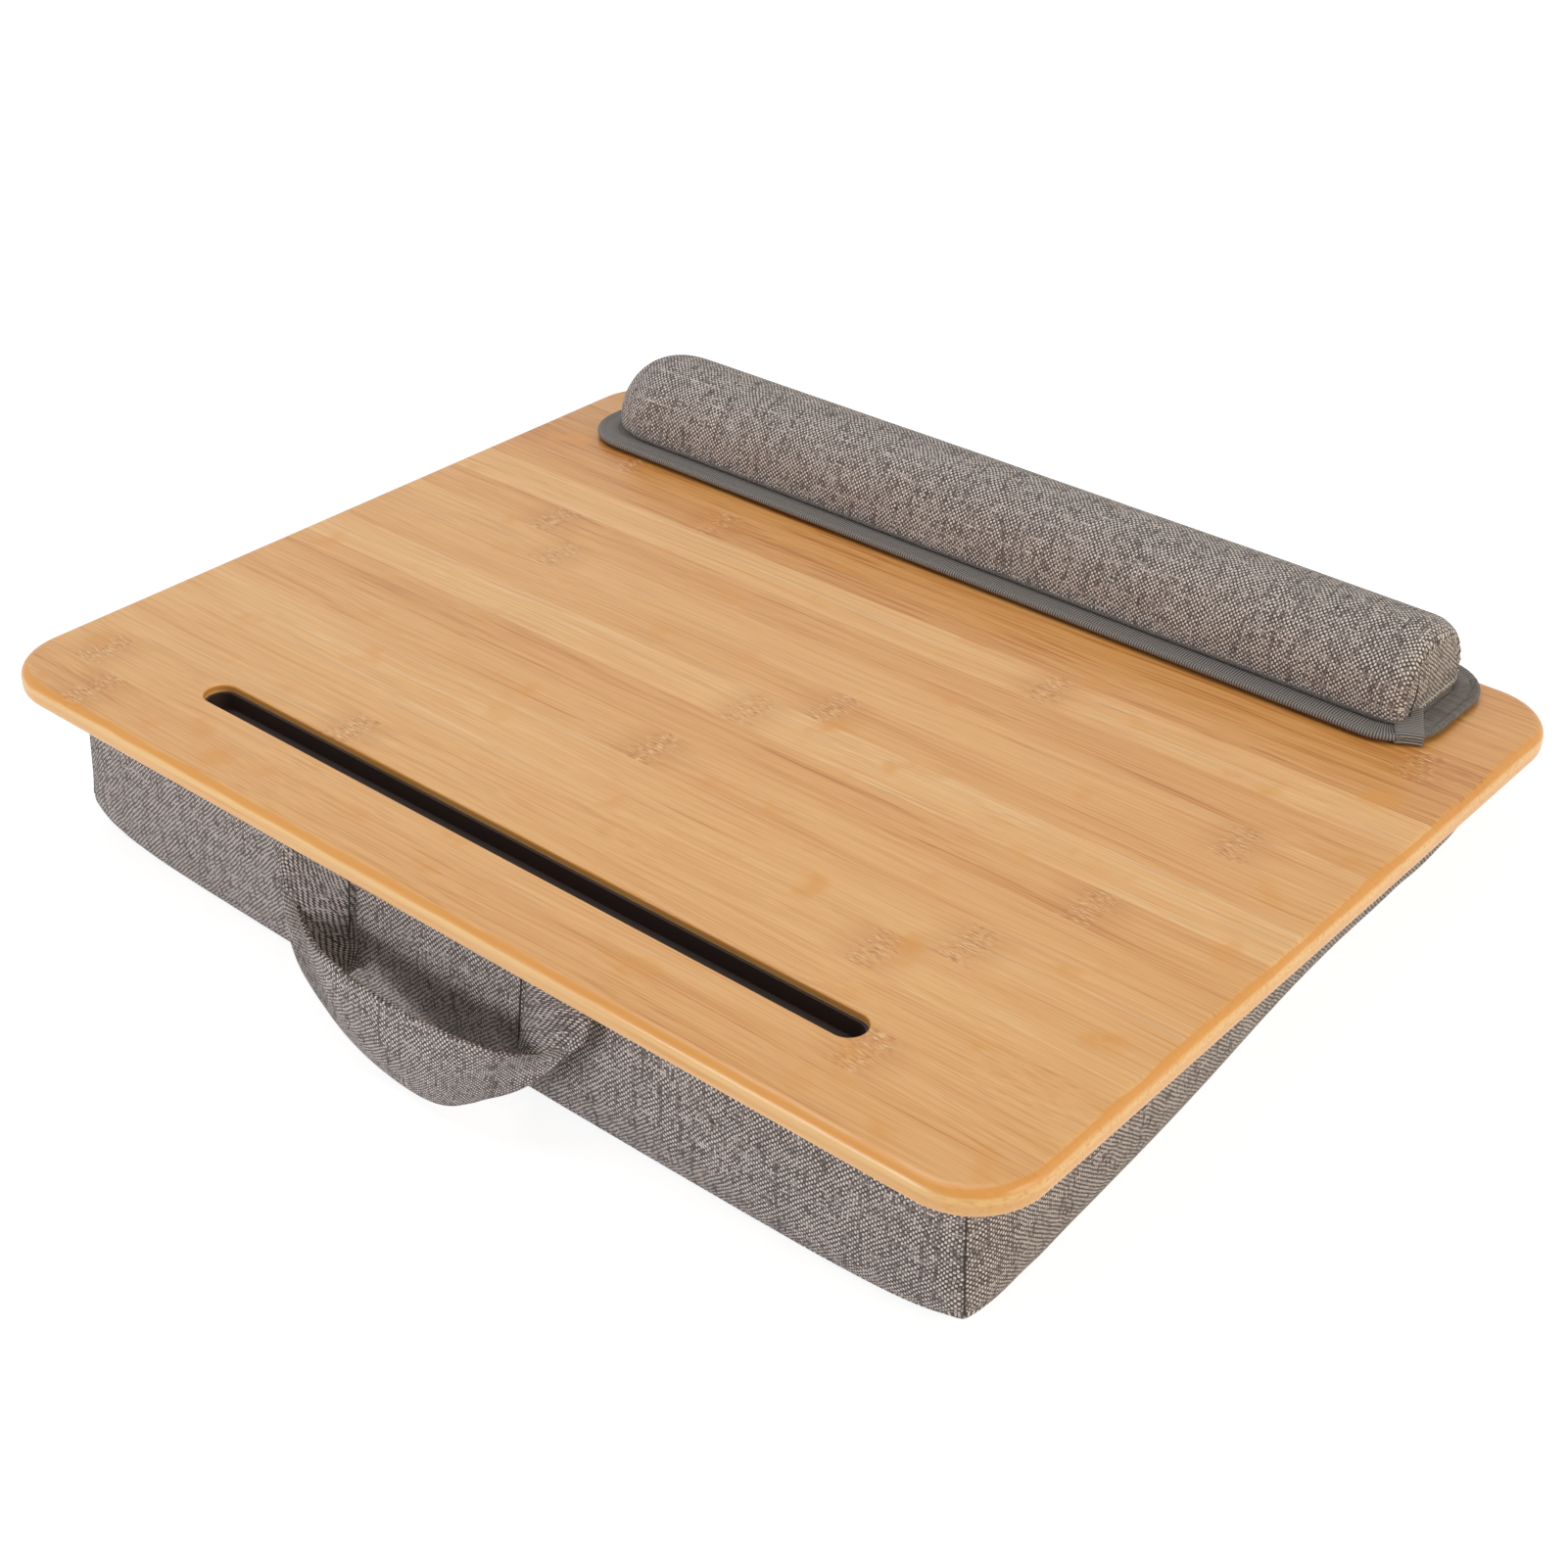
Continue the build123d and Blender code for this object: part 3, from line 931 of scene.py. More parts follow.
def subdivided_box(cells: tuple[int, int, int]) -> Mesh:
    """Make a box from -1 to 1 each way, cut into cells.

    Args:
        cells: How many cells along x, y and z.

    Returns:
        The box.
    """
    mesh = bmesh.new()
    bmesh.ops.create_cube(mesh, size=2.0)
    for axis, count in enumerate(cells):
        along = [e for e in mesh.edges if abs(e.verts[0].co[axis] - e.verts[1].co[axis]) > 1.0]
        bmesh.ops.subdivide_edges(mesh, edges=along, cuts=count - 1, use_grid_fill=True)
    return mesh


def add_uv(mesh: Mesh, place: Callable[[Face, Vertex], Vector]) -> None:
    """Lay the cloth's UV map, in metres.

    Args:
        mesh: The piece.
        place: Gives a face's vertex its place on the flat cloth.
    """
    layer = mesh.loops.layers.uv.new("cloth")
    for face in mesh.faces:
        for loop in face.loops:
            loop[layer].uv = place(face, loop.vert)


def cloth_grid(
    columns: int, rows: int, place: Callable[[int, int], tuple[Vector, Vector]]
) -> Mesh:
    """Make an oblong of cloth with its UV map.

    Args:
        columns: How many cells along it.
        rows: How many cells across it.
        place: Gives a grid point, by its numbers along and across, its place in space and
            its place on the flat cloth.

    Returns:
        The cloth.
    """
    mesh = bmesh.new()
    bmesh.ops.create_grid(mesh, x_segments=columns, y_segments=rows, size=1.0)
    flat: dict[Vertex, Vector] = {}
    for vertex in mesh.verts:
        column = round((vertex.co.x + 1) / 2 * columns)
        row = round((vertex.co.y + 1) / 2 * rows)
        vertex.co, flat[vertex] = place(column, row)
    add_uv(mesh, lambda face, vertex: flat[vertex])
    return mesh


def inner_form(piece: Piece, depth: float) -> Mesh:
    """Copy a closed piece and sink its surface, for what fills it.

    Args:
        piece: The closed piece.
        depth: How far the surface moves inwards, in metres.

    Returns:
        The smaller form.
    """
    mesh = bmesh.new()
    mesh.from_mesh(piece.data)
    mesh.normal_update()
    for vertex in mesh.verts:
        vertex.co -= vertex.normal * depth
    return mesh


def spline_point(points: list[Vector], share: float) -> Vector:
    """Return a point of the smooth curve that control points pull into shape.

    Args:
        points: The control points. The curve runs from the first one to the last one.
        share: How far along the curve, from 0 to 1.

    Returns:
        The point of the uniform cubic B-spline.
    """
    padded = [points[0] * 2 - points[1], *points, points[-1] * 2 - points[-2]]
    place = share * (len(points) - 1)
    index = min(int(place), len(points) - 2)
    u = place - index
    weights = ((1 - u) ** 3, 3 * u**3 - 6 * u**2 + 4, -3 * u**3 + 3 * u**2 + 3 * u + 1, u**3)
    pulls = [p * (w / 6) for p, w in zip(padded[index : index + 4], weights)]
    return sum(pulls, Vector((0, 0, 0)))


def distances(path: list[Vector]) -> list[float]:
    """Return how far along a path each of its points is."""
    return [0.0, *accumulate((b - a).length for a, b in zip(path, path[1:]))]


def walk(path: list[Vector], distance: float) -> Vector:
    """Return the point at a distance along a path.

    Args:
        path: The points that the path joins.
        distance: How far along it, in metres.

    Returns:
        The point.
    """
    for start, end in zip(path, path[1:]):
        length = (end - start).length
        if distance <= length and length > 0:
            return start.lerp(end, distance / length)
        distance -= length
    return path[-1].copy()


@dataclass(frozen=True)
class Stitch:
    """A straight stitch of round thread, and the bare length before the next one."""

    length: float = 2.6 * MM
    gap: float = 0.5 * MM
    radius: float = 0.35 * MM
    sides: int = 6

    def sew(self, name: str, paths: list[list[Vector]], finish: Material, body: Body) -> None:
        """Sew rows of stitches as one piece on the cover cloth.

        Args:
            name: The piece's name.
            paths: The points that each row follows, in metres.
            finish: The thread's material.
            body: The body that the cloth rides on.
        """
        mesh = bmesh.new()
        for path in paths:
            total = distances(path)[-1]
            count = max(1, int(total / (self.length + self.gap)))
            for number in range(count):
                start = walk(path, total * number / count)
                end = walk(path, total * (number + 1) / count - self.gap)
                along = end - start
                turn = along.to_track_quat("Z", "Y").to_matrix().to_4x4()
                bmesh.ops.create_cone(
                    mesh,
                    cap_ends=True,
                    segments=self.sides,
                    radius1=self.radius,
                    radius2=self.radius,
                    depth=along.length,
                    matrix=Matrix.Translation((start + end) / 2) @ turn,
                )
        place_piece(new_piece(name, mesh, finish), body, Slot.COVER)


STITCH = Stitch()


@dataclass(frozen=True)
class Swelling:
    """How a filling swells a closed cloth form a little, in a short cloth simulation."""

    # The furthest that a point may move
    most: float = 1.0 * MM
    # How much longer the cloth is than the form, as a share
    slack: float = 0.001
    pressure: float = 4.0
    steps: int = 20
    quality: int = 6
    mass: float = 0.25
    stretch_stiffness: float = 20.0
    shear_stiffness: float = 6.0
    bending_stiffness: float = 0.8
    air_damping: float = 4.0

    def apply(self, piece: Piece, held: Callable[[Vector], bool]) -> None:
        """Swell a piece and keep the result.

        Args:
            piece: The closed form, a little smaller than the finished pad.
            held: Says whether a point is held where it is.
        """
        rest = [vertex.co.copy() for vertex in piece.data.vertices]
        pins = piece.vertex_groups.new(name="held")
        pins.add([i for i, co in enumerate(rest) if held(co)], 1.0, "REPLACE")
        cloth = piece.modifiers.new("cloth", "CLOTH")
        settings = cloth.settings
        settings.quality = self.quality
        settings.mass = self.mass
        settings.tension_stiffness = self.stretch_stiffness
        settings.compression_stiffness = self.stretch_stiffness
        settings.shear_stiffness = self.shear_stiffness
        settings.bending_stiffness = self.bending_stiffness
        settings.air_damping = self.air_damping
        settings.vertex_group_mass = pins.name
        settings.use_pressure = True
        settings.uniform_pressure_force = self.pressure
        settings.shrink_min = -self.slack
        settings.effector_weights.gravity = 0.0
        cloth.point_cache.frame_start = 1
        cloth.point_cache.frame_end = self.steps
        for number in range(1, self.steps + 1):
            bpy.context.scene.frame_set(number)
        shown = piece.evaluated_get(bpy.context.evaluated_depsgraph_get())
        swollen = [vertex.co.copy() for vertex in shown.data.vertices]
        piece.modifiers.remove(cloth)
        piece.vertex_groups.remove(pins)
        bpy.context.scene.frame_set(1)
        for vertex, start, end in zip(piece.data.vertices, rest, swollen):
            travel = end - start
            if travel.length > self.most:
                travel *= self.most / travel.length
            vertex.co = start + travel


@dataclass
class TrayBoard:
    """The bamboo board with its slot liner, and the hidden panel that carries the cushion."""

    finishes: Finishes

    def build(self) -> None:
        """Dress the frame's own solids."""
        dress_node("tray_board", self.finishes.bamboo)
        dress_node("slot_liner", self.finishes.liner)
        dress_node("backing_panel", self.finishes.hardboard)
        dress_node("backing_screws", self.finishes.steel)


@dataclass
class Cushion:
    """The wedge cushion: a cloth box cover, sewn at its corners, round a foam core."""

    finishes: Finishes
    half_width: float = 202.5 * MM
    half_depth: float = 152.0 * MM
    # The lower corners' height and spread, first on the left, then on the right
    corner_height: Pair = (12.0 * MM, 8.0 * MM)
    corner_spread: Pair = (5.0 * MM, 2.0 * MM)
    # How closely the bottom seam keeps to its height until it rises to a corner
    corner_power: int = 14
    seam_height: float = 1.5 * MM
    top_bow: float = 4.0 * MM
    side_bow: float = 7.0 * MM
    seam_bow: Pair = (0.4 * MM, 5.6 * MM)
    # The share of a side's swell that stays full nearly to its corners, and how nearly
    full_share: float = 0.55
    full_power: int = 12
    # How closely a swell keeps to its own side of the box
    side_power: int = 8
    seam_pinch: float = 0.8 * MM
    # The right side is hollow behind its middle: how deep, where and how far it reaches
    right_hollow: Triple = (3.0 * MM, 45.0 * MM, 65.0 * MM)
    belly_turn: float = 2.2 * MM
    belly_sink: float = 0.5 * MM
    cloth: float = 2.0 * MM
    backing: float = 4.5 * MM
    stitch_out: float = 0.15 * MM
    # How near to the board and to the floor the cover is held
    held_near: Pair = (1.0 * MM, 0.3 * MM)
    # How far each panel's cloth is slid along it: all alike, and by its side's x and y
    cloth_shift: Triple = (0.5, 0.217, 0.131)
    cells: tuple[int, int, int] = (66, 50, 12)

    def build(self) -> None:
        """Build the cover, its filling and its seams."""
        mesh = subdivided_box(self.cells)
        mesh.verts.index_update()
        sides = {face: self._side(face) for face in mesh.faces}
        corners: dict[tuple[int, int], list[int]] = {}
        for vertex in mesh.verts:
            unit = vertex.co.copy()
            if min(abs(unit.x), abs(unit.y)) > ON_SIDE:
                corners.setdefault((round(unit.x), round(unit.y)), []).append(vertex.index)
            vertex.co = self.surface(unit)
        add_uv(mesh, lambda face, vertex: self._flat_place(sides[face], vertex.co))
        cover = new_piece("cushion_cover", mesh, self.finishes.cover)
        Swelling().apply(cover, self._held)
        for vertex in cover.data.vertices:
            vertex.co.z = max(vertex.co.z, 0.0)
        seams = []
        for signs, numbers in corners.items():
            outward = Vector((*signs, 0)) * self.stitch_out
            seam = [cover.data.vertices[number].co + outward for number in numbers]
            seams.append(sorted(seam, key=lambda point: point.z))
        STITCH.sew("cushion_seam_threads", seams, self.finishes.thread, Body.DESK)
        filling = self._filling(cover)
        smooth_finish(cover)
        place_piece(
            cover,
            Body.DESK,
            Slot.COVER,
            "cushion_top_cloth",
            "cushion_front_panel",
            "cushion_right_panel",
            "cushion_back_panel",
            "cushion_left_panel",
            "cushion_bottom_panel",
        )
        place_piece(filling, Body.DESK, Slot.FOAM, "cushion_foam")

    def surface(self, unit: Vector) -> Vector:
        """Carry a point of the unit box to the cover's surface.

        Args:
            unit: The point, from -1 to 1 each way.

        Returns:
            Its place in the object's frame, in metres.
        """
        a, b = (math.sin(v * math.pi / 2) for v in unit.xy)
        bow_x = 1 - b * b
        bow_y = 1 - a * a
        full = self.full_share
        puff_x = (1 - full) * bow_x + full * (1 - b**self.full_power)
        puff_y = (1 - full) * bow_y + full * (1 - a**self.full_power)
        x = a * (self.half_width + self.top_bow * bow_x)
        y = b * (self.half_depth + self.top_bow * bow_y)
        top = TRAY @ Vector((x, y, -BOARD.thickness))
        corner_height, spread = (
            left + (right - left) * (1 + a) / 2
            for left, right in (self.corner_height, self.corner_spread)
        )
        rise = (corner_height - self.seam_height) * abs(a * b) ** self.corner_power
        x = a * (self.half_width + spread + self.seam_bow[0] * puff_x)
        y = b * (self.half_depth / math.cos(BOARD.wedge) + self.seam_bow[1] * puff_y)
        depth, centre, reach = self.right_hollow
        hollow = depth * math.exp(-(((y - centre) / reach) ** 2))
        seam = Vector((x - hollow * max(a, 0.0) ** self.side_power, y, self.seam_height + rise))
        down = (1 - unit.z) / 2
        arch = 4 * down * (1 - down)
        bulge_x = arch * (self.side_bow - (self.top_bow + spread + self.seam_bow[0]) / 2)
        bulge_y = arch * (self.side_bow - (self.top_bow + self.seam_bow[1]) / 2)
        point = top.lerp(seam, down)
        point.x += a * abs(a) ** self.side_power * puff_x * bulge_x
        point.y += b * abs(b) ** self.side_power * puff_y * bulge_y
        from_side = ((1 - abs(a)) * self.half_width, (1 - abs(b)) * self.half_depth)
        pinch = self.seam_pinch * math.exp(-sum(from_side) / self.seam_pinch)
        point -= Vector((math.copysign(pinch, a), math.copysign(pinch, b), 0))
        if unit.z < -ON_SIDE:
            belly = seam.z / (1 + min(from_side) / self.belly_turn) - self.belly_sink
            point.z = max(0.0, belly)
        return point

    def _side(self, face: Face) -> Vector:
        """Find the side of the unit box that a face lies on.

        Args:
            face: The face.

        Returns:
            The side's outward axis.
        """
        centre = face.calc_center_median()
        axis = max(range(3), key=lambda i: abs(centre[i]))
        side = Vector((0, 0, 0))
        side[axis] = math.copysign(1.0, centre[axis])
        return side

    def _flat_place(self, side: Vector, point: Vector) -> Vector:
        """Find a point's place on its panel's cloth, whose threads run level and upright.

        Args:
            side: The panel's outward axis.
            point: The point.

        Returns:
            Its place on the flat cloth, in metres.
        """
        shift = Vector((1.0, side.x, side.y)).dot(Vector(self.cloth_shift))
        if abs(side.z) > 0:
            return Vector((point.x + shift, point.y))
        if abs(side.x) > 0:
            return Vector((point.y + shift, point.z))
        return Vector((point.x + shift, point.z))

    def _held(self, point: Vector) -> bool:
        """Say whether the cover is held at a point: under the board or on the floor."""
        board, floor = self.held_near
        return (UNTRAY @ point).z > -BOARD.thickness - board or point.z < floor

    def _filling(self, cover: Piece) -> Piece:
        """Build the foam wedge, a cloth's thickness inside the cover and under the backing.

        Args:
            cover: The cover, in its final shape.

        Returns:
            The wedge.
        """
        mesh = inner_form(cover, self.cloth)
        bmesh.ops.bisect_plane(
            mesh,
            geom=[*mesh.verts, *mesh.edges, *mesh.faces],
            plane_co=TRAY @ Vector((0, 0, -BOARD.thickness - self.backing)),
            plane_no=TRAY.to_3x3() @ Vector((0, 0, 1)),
            clear_outer=True,
        )
        bmesh.ops.holes_fill(mesh, edges=[e for e in mesh.edges if e.is_boundary])
        return new_piece("cushion_filling", mesh, self.finishes.foam)


@dataclass
class Handle:
    """The cloth carrying handle: one limp band sewn to the front panel at both ends.

    From each upright seam a flap runs outwards along the panel and turns back in a fold
    that leans: far out at the top, close to the seam at the bottom. The front sags
    between the folds, hollow side in. Three lines shape the band, its rim, its waist and
    its hem, each one given from the right seam to the middle by places of x from the
    handle's middle, distance out from the panel and height in the board's frame. Sizes
    are in mm.
    """

    finishes: Finishes
    shift: float = -4.0
    panel_y: float = -159.0
    thickness: float = 2.2
    width: float = 43.0
    seam_lean: float = 5.0
    # The stitches' distance from the band's end and out from the panel
    stitch_inset: float = 0.5
    stitch_out: float = 2.6
    # Two distances out from the panel, at which places on the band are worked out that nothing
    # then uses
    swing: Pair = (2.0, 19.0)
    cells: tuple[int, int] = (150, 22)
    rim: tuple[Triple, ...] = (
        (40.0, -3.0, -18.0),
        (42.0, 1.2, -18.0),
        (56.0, 1.2, -18.0),
        (71.0, 1.3, -17.0),
        (75.0, 5.0, -23.0),
        (64.0, 8.0, -33.0),
        (53.0, 13.5, -39.0),
        (40.0, 20.0, -38.5),
        (18.0, 22.0, -39.5),
        (0.0, 22.0, -40.5),
    )
    waist: tuple[Triple, ...] = (
        (40.0, -3.0, -39.0),
        (41.0, 1.5, -39.0),
        (46.0, 5.0, -40.0),
        (56.0, 11.0, -41.0),
        (59.0, 16.0, -44.0),
        (49.0, 20.0, -48.0),
        (38.0, 22.0, -51.0),
        (27.0, 24.0, -55.0),
        (14.0, 25.0, -58.0),
        (0.0, 25.0, -59.0),
    )
    hem: tuple[Triple, ...] = (
        (40.0, -3.0, -60.0),
        (40.0, 1.5, -60.0),
        (40.0, 6.0, -60.0),
        (40.0, 13.0, -57.0),
        (42.0, 20.0, -54.0),
        (38.0, 22.5, -58.0),
        (31.0, 23.0, -64.0),
        (23.0, 22.5, -69.0),
        (12.0, 21.5, -72.5),
        (0.0, 21.0, -73.5),
    )
    # How much higher the hem's left half hangs, point by point
    left_lift: tuple[float, ...] = (0.0, 0.0, 1.0, 4.0, 6.0, 6.5, 5.5, 4.0, 2.0, 0.5)

    def build(self) -> None:
        columns, rows = self.cells
        lines: list[list[Vector]] = []
        for row in range(rows + 1):
            pulls = self._line(row / rows)
            line = [spline_point(pulls, column / columns) * MM for column in range(columns + 1)]
            lines.append([TRAY @ point for point in line])
        runs = [distances(line) for line in lines]

        def place(column: int, row: int) -> tuple[Vector, Vector]:
            """Return a grid point's place in space and on the flat cloth."""
            along = runs[row][column] - runs[row][-1] / 2
            return lines[row][column], Vector((along, row / rows * self.width * MM))

        band = new_piece("handle_band", cloth_grid(columns, rows, place), self.finishes.cover)
        give_wall(band, self.thickness * MM)
        smooth_finish(band)
        start, end = (self._on_band(0.0, out, self.rim[0][2]) for out in self.swing)
        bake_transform(band)
        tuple(start)
        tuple(end)
        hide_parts("handle_strap", "handle_end_left", "handle_end_right")
        seams = []
        for end_x in (-self.rim[0][0] - self.stitch_inset, self.rim[0][0] + self.stitch_inset):
            high = self._on_band(end_x, self.stitch_out, self.rim[0][2])
            low = self._on_band(end_x - self.seam_lean, self.stitch_out, self.hem[0][2])
            seams.append([high, low])
        STITCH.sew("handle_seam_threads", seams, self.finishes.thread, Body.DESK)

    def _on_band(self, x: float, out: float, z: float) -> Vector:
        """Return a place by the handle, given as its lines are, in the object's frame."""
        return TRAY @ (Vector((self.shift + x, self.panel_y - out, z)) * MM)

    def _line(self, across: float) -> list[Vector]:
        """Return the control points of the band's line at one height.

        Args:
            across: 0 at the band's hem, 1 at its rim.

        Returns:
            The points from the left seam to the right one, in the board's frame.
        """
        shares = (
            2 * (across - 0.5) * (across - 1),
            4 * across * (1 - across),
            2 * across * (across - 0.5),
        )
        half = []
        for trio in zip(self.hem, self.waist, self.rim):
            half.append(sum((Vector(p) * s for p, s in zip(trio, shares)), Vector()))
        places = [Vector((-p.x, p.y, p.z)) for p in half] + half[-2::-1]
        for index, part in enumerate((1.0, 1.0, 0.5)):
            for place in (places[index], places[-1 - index]):
                place.x -= self.seam_lean * (1 - across) * part
        for place, lift in zip(places, self.left_lift):
            place.z += lift * (1 - across) ** 2
        return [Vector((self.shift + p.x, self.panel_y - p.y, p.z)) for p in places]


@dataclass
class WristRest:
    """The padded wrist rest: a loaf-shaped bolster on a bound base cloth."""

    finishes: Finishes
    # The bolster's middle, and the height of its foot over the board
    centre: Triple = (-3.2 * MM, 140.8 * MM, 3.2 * MM)
    half_length: float = 189.2 * MM
    half_depth: float = 25.0 * MM
    height: float = 30.5 * MM
    # The length over which each end is rounded, and how far it narrows
    left_end: Pair = (24.0 * MM, 14.0 * MM)
    right_end: Pair = (9.0 * MM, 6.0 * MM)
    end_narrowing: float = 0.8
    # The right end's puckers: how far they stand out, and how closely they keep to its rim
    pucker: float = 0.7 * MM
    pucker_power: int = 8
    # The height, as a share, of the point round which the end's rings shrink
    core_share: float = 0.4
    cloth: float = 1.5 * MM
    stitch_out: float = 0.1 * MM
    # How near to its foot the cover is held
    held_near: float = 0.5 * MM
    base_shift: float = -2.1 * MM
    base_centre_y: float = 139.8 * MM
    base_width: float = 399.4 * MM
    base_depth: float = 65.0 * MM
    base_radius: float = 21.0 * MM
    base_low: float = 2.0 * MM
    base_high: float = 3.2 * MM
    # How far the base cloth's edge stays inside the tape's fold
    base_tuck: float = 0.3 * MM
    # The width of its outer row of cells, and the cells along a long side and a corner
    base_row: float = 8.0 * MM
    base_cells: tuple[int, int] = (41, 12)
    # The tape's upper leaf, from its hem outwards: places inwards from the fold and
    # above the base cloth, in mm. It dips at the line that its stitches pull down.
    tape_leaf: tuple[tuple[float, float], ...] = (
        (9.0, 0.05),
        (8.7, 0.3),
        (6.3, 0.4),
        (3.6, 0.3),
        (3.1, 0.1),
        (2.6, 0.3),
    )
    tape_wrap: float = 0.7 * MM
    tape_bead_out: float = 0.4 * MM
    tape_step: float = 8.0 * MM
    tape_end_x: float = 190.0 * MM
    bends: int = 10
    # The tail's place on the board, heading and sizes, in mm
    tail_start: Pair = (184.4, 128.4)
    tail_heading: float = math.radians(-60.7)
    tail_width: float = 10.0
    tail_crown: float = 0.35
    tail_thickness: float = 1.0
    tail_cells: tuple[int, int] = (40, 8)
    # The lapped tail's places along its heading and above the board, in mm
    tail_section: tuple[tuple[float, float], ...] = (
        (-1.5, 5.0),
        (2.0, 4.7),
        (6.0, 4.3),
        (10.0, 4.2),
        (13.0, 4.6),
        (15.2, 4.7),
        (16.6, 3.9),
        (17.0, 2.8),
        (16.8, 1.4),
        (17.2, 0.9),
    )
    # Where the dart runs down the bolster's right front corner, in the board's frame, in mm
    dart: tuple[Triple, ...] = (
        (189.0, 127.8, 15.5),
        (189.0, 127.0, 11.5),
        (189.0, 125.6, 7.0),
        (188.5, 124.2, 3.4),
    )
    cells: tuple[int, int, int] = (96, 12, 12)

    def build(self) -> None:
        """Build the bolster, its filling, the base cloth and its binding."""
        self._build_bolster()
        self._build_base()
        self._build_binding()
        self._build_tail()
        dress_node("rest_hook_strips", self.finishes.hooks)
        dress_node("rest_loop_strips", self.finishes.hooks)

    def _build_bolster(self) -> None:
        """Build the stuffed cover and its filling."""
        mesh = subdivided_box(self.cells)
        ends = {face: abs(face.calc_center_median().x) > ON_SIDE for face in mesh.faces}
        flat: dict[Vertex, Vector] = {}
        for vertex in mesh.verts:
            local, girth = self._loaf(vertex.co.copy())
            flat[vertex] = Vector((local.x, girth))
            vertex.co = TRAY @ (local + Vector(self.centre))
        add_uv(mesh, lambda face, vertex: vertex.co.yz if ends[face] else flat[vertex])
        cover = new_piece("rest_bolster", mesh, self.finishes.cover)
        Swelling().apply(cover, self._held)
        filling = new_piece("rest_filling", inner_form(cover, self.cloth), self.finishes.foam)
        self._sew_dart(cover)
        smooth_finish(cover)
        place_piece(cover, Body.WRIST_REST, Slot.COVER, "rest_cover")
        place_piece(filling, Body.WRIST_REST, Slot.FOAM, "rest_foam")

    def _sew_dart(self, cover: Piece) -> None:
        """Lay the stitches of the dart that gathers the cover at its right front corner.

        Args:
            cover: The cover, in its final shape.
        """
        surface = bmesh.new()
        surface.from_mesh(cover.data)
        tree = BVHTree.FromBMesh(surface)
        surface.free()
        path = []
        for place in self.dart:
            point, normal, *_ = tree.find_nearest(TRAY @ (Vector(place) * MM))
            path.append(point + normal * self.stitch_out)
        STITCH.sew("rest_dart_threads", [path], self.finishes.thread, Body.WRIST_REST)

    def _held(self, point: Vector) -> bool:
        """Say whether the bolster is sewn down at a point."""
        return (UNTRAY @ point).z < self.centre[2] + self.held_near

    def _loaf(self, unit: Vector) -> tuple[Vector, float]:
        """Carry a point of the unit box to the loaf, and give its place round the girth.

        Args:
            unit: The point, from -1 to 1 each way.

        Returns:
            Its place from the loaf's foot centre, and the cloth's length round to it.
        """
        radius = (self.half_depth**2 + self.height**2) / (2 * self.height)
        centre_z = self.height - radius
        foot_angle = -math.atan2(centre_z, self.half_depth)
        a, b, c = unit
        ring = max(abs(b), abs(c), TINY)
        if c <= -ring + TINY and abs(b) <= ring:
            walked = 0.0
            rim = Vector((self.half_depth * b / ring, 0))
        else:
            # Three sides of the box make the loaf's back, top and front: two units each
            if b >= ring - TINY and c < ring:
                walked = (c + ring) / ring
            elif c >= ring - TINY:
                walked = 2 + (ring - b) / ring
            else:
                walked = 4 + (ring - c) / ring
            angle = foot_angle + (math.pi - 2 * foot_angle) * walked / 6
            rim = Vector((math.cos(angle) * radius, centre_z + math.sin(angle) * radius))
        girth = radius * (math.pi - 2 * foot_angle) * walked / 6
        round_length, round_depth = self.right_end if a > 0 else self.left_end
        number = round(walked * self.cells[1] / 2)
        gather = self.pucker * math.cos(math.pi * number) if a > 0 else 0.0
        reach = abs(math.sin(a * math.pi / 2)) * self.half_length
        turned = max(0.0, 1 - (self.half_length - reach) / round_length)
        inset = round_depth * (1 - math.sqrt(1 - turned**2))
        reach += gather * turned * ring**self.pucker_power
        core = self.height * self.core_share
        y = rim.x * (1 - self.end_narrowing * inset / self.half_depth) * ring
        z = (core + (rim.y - core) * ring) * (1 - inset / self.height)
        return Vector((math.copysign(reach, a), y, z)), girth

    def _build_base(self) -> None:
        """Build the base cloth, which shows as a flange round the bolster."""
        mesh = bmesh.new()
        half = (self.base_width / 2 - self.base_tuck, self.base_depth / 2 - self.base_tuck, 1)
        along, round_corner = self.base_cells
        bmesh.ops.create_grid(mesh, x_segments=1, y_segments=1, size=1.0)
        bmesh.ops.scale(mesh, verts=mesh.verts, vec=half)
        bmesh.ops.bevel(
            mesh,
            geom=mesh.verts[:],
            offset=self.base_radius - self.base_tuck,
            segments=round_corner,
            profile=0.5,
            affect="VERTICES",
            material=-1,
        )
        sides = [edge for edge in mesh.edges if edge.calc_length() > self.base_depth / 2]
        bmesh.ops.subdivide_edges(mesh, edges=sides, cuts=along - 1)
        bmesh.ops.inset_region(
            mesh, faces=mesh.faces, thickness=self.base_row, use_even_offset=True
        )
        middle = (self.base_shift, self.base_centre_y, (self.base_low + self.base_high) / 2)
        bmesh.ops.translate(mesh, verts=mesh.verts, vec=middle)
        add_uv(mesh, lambda face, vertex: vertex.co.xy)
        bmesh.ops.transform(mesh, matrix=TRAY, verts=mesh.verts)
        base = new_piece("rest_base", mesh, self.finishes.base)
        give_wall(base, self.base_high - self.base_low)
        place_piece(base, Body.WRIST_REST, Slot.BASE, "rest_base_cloth")

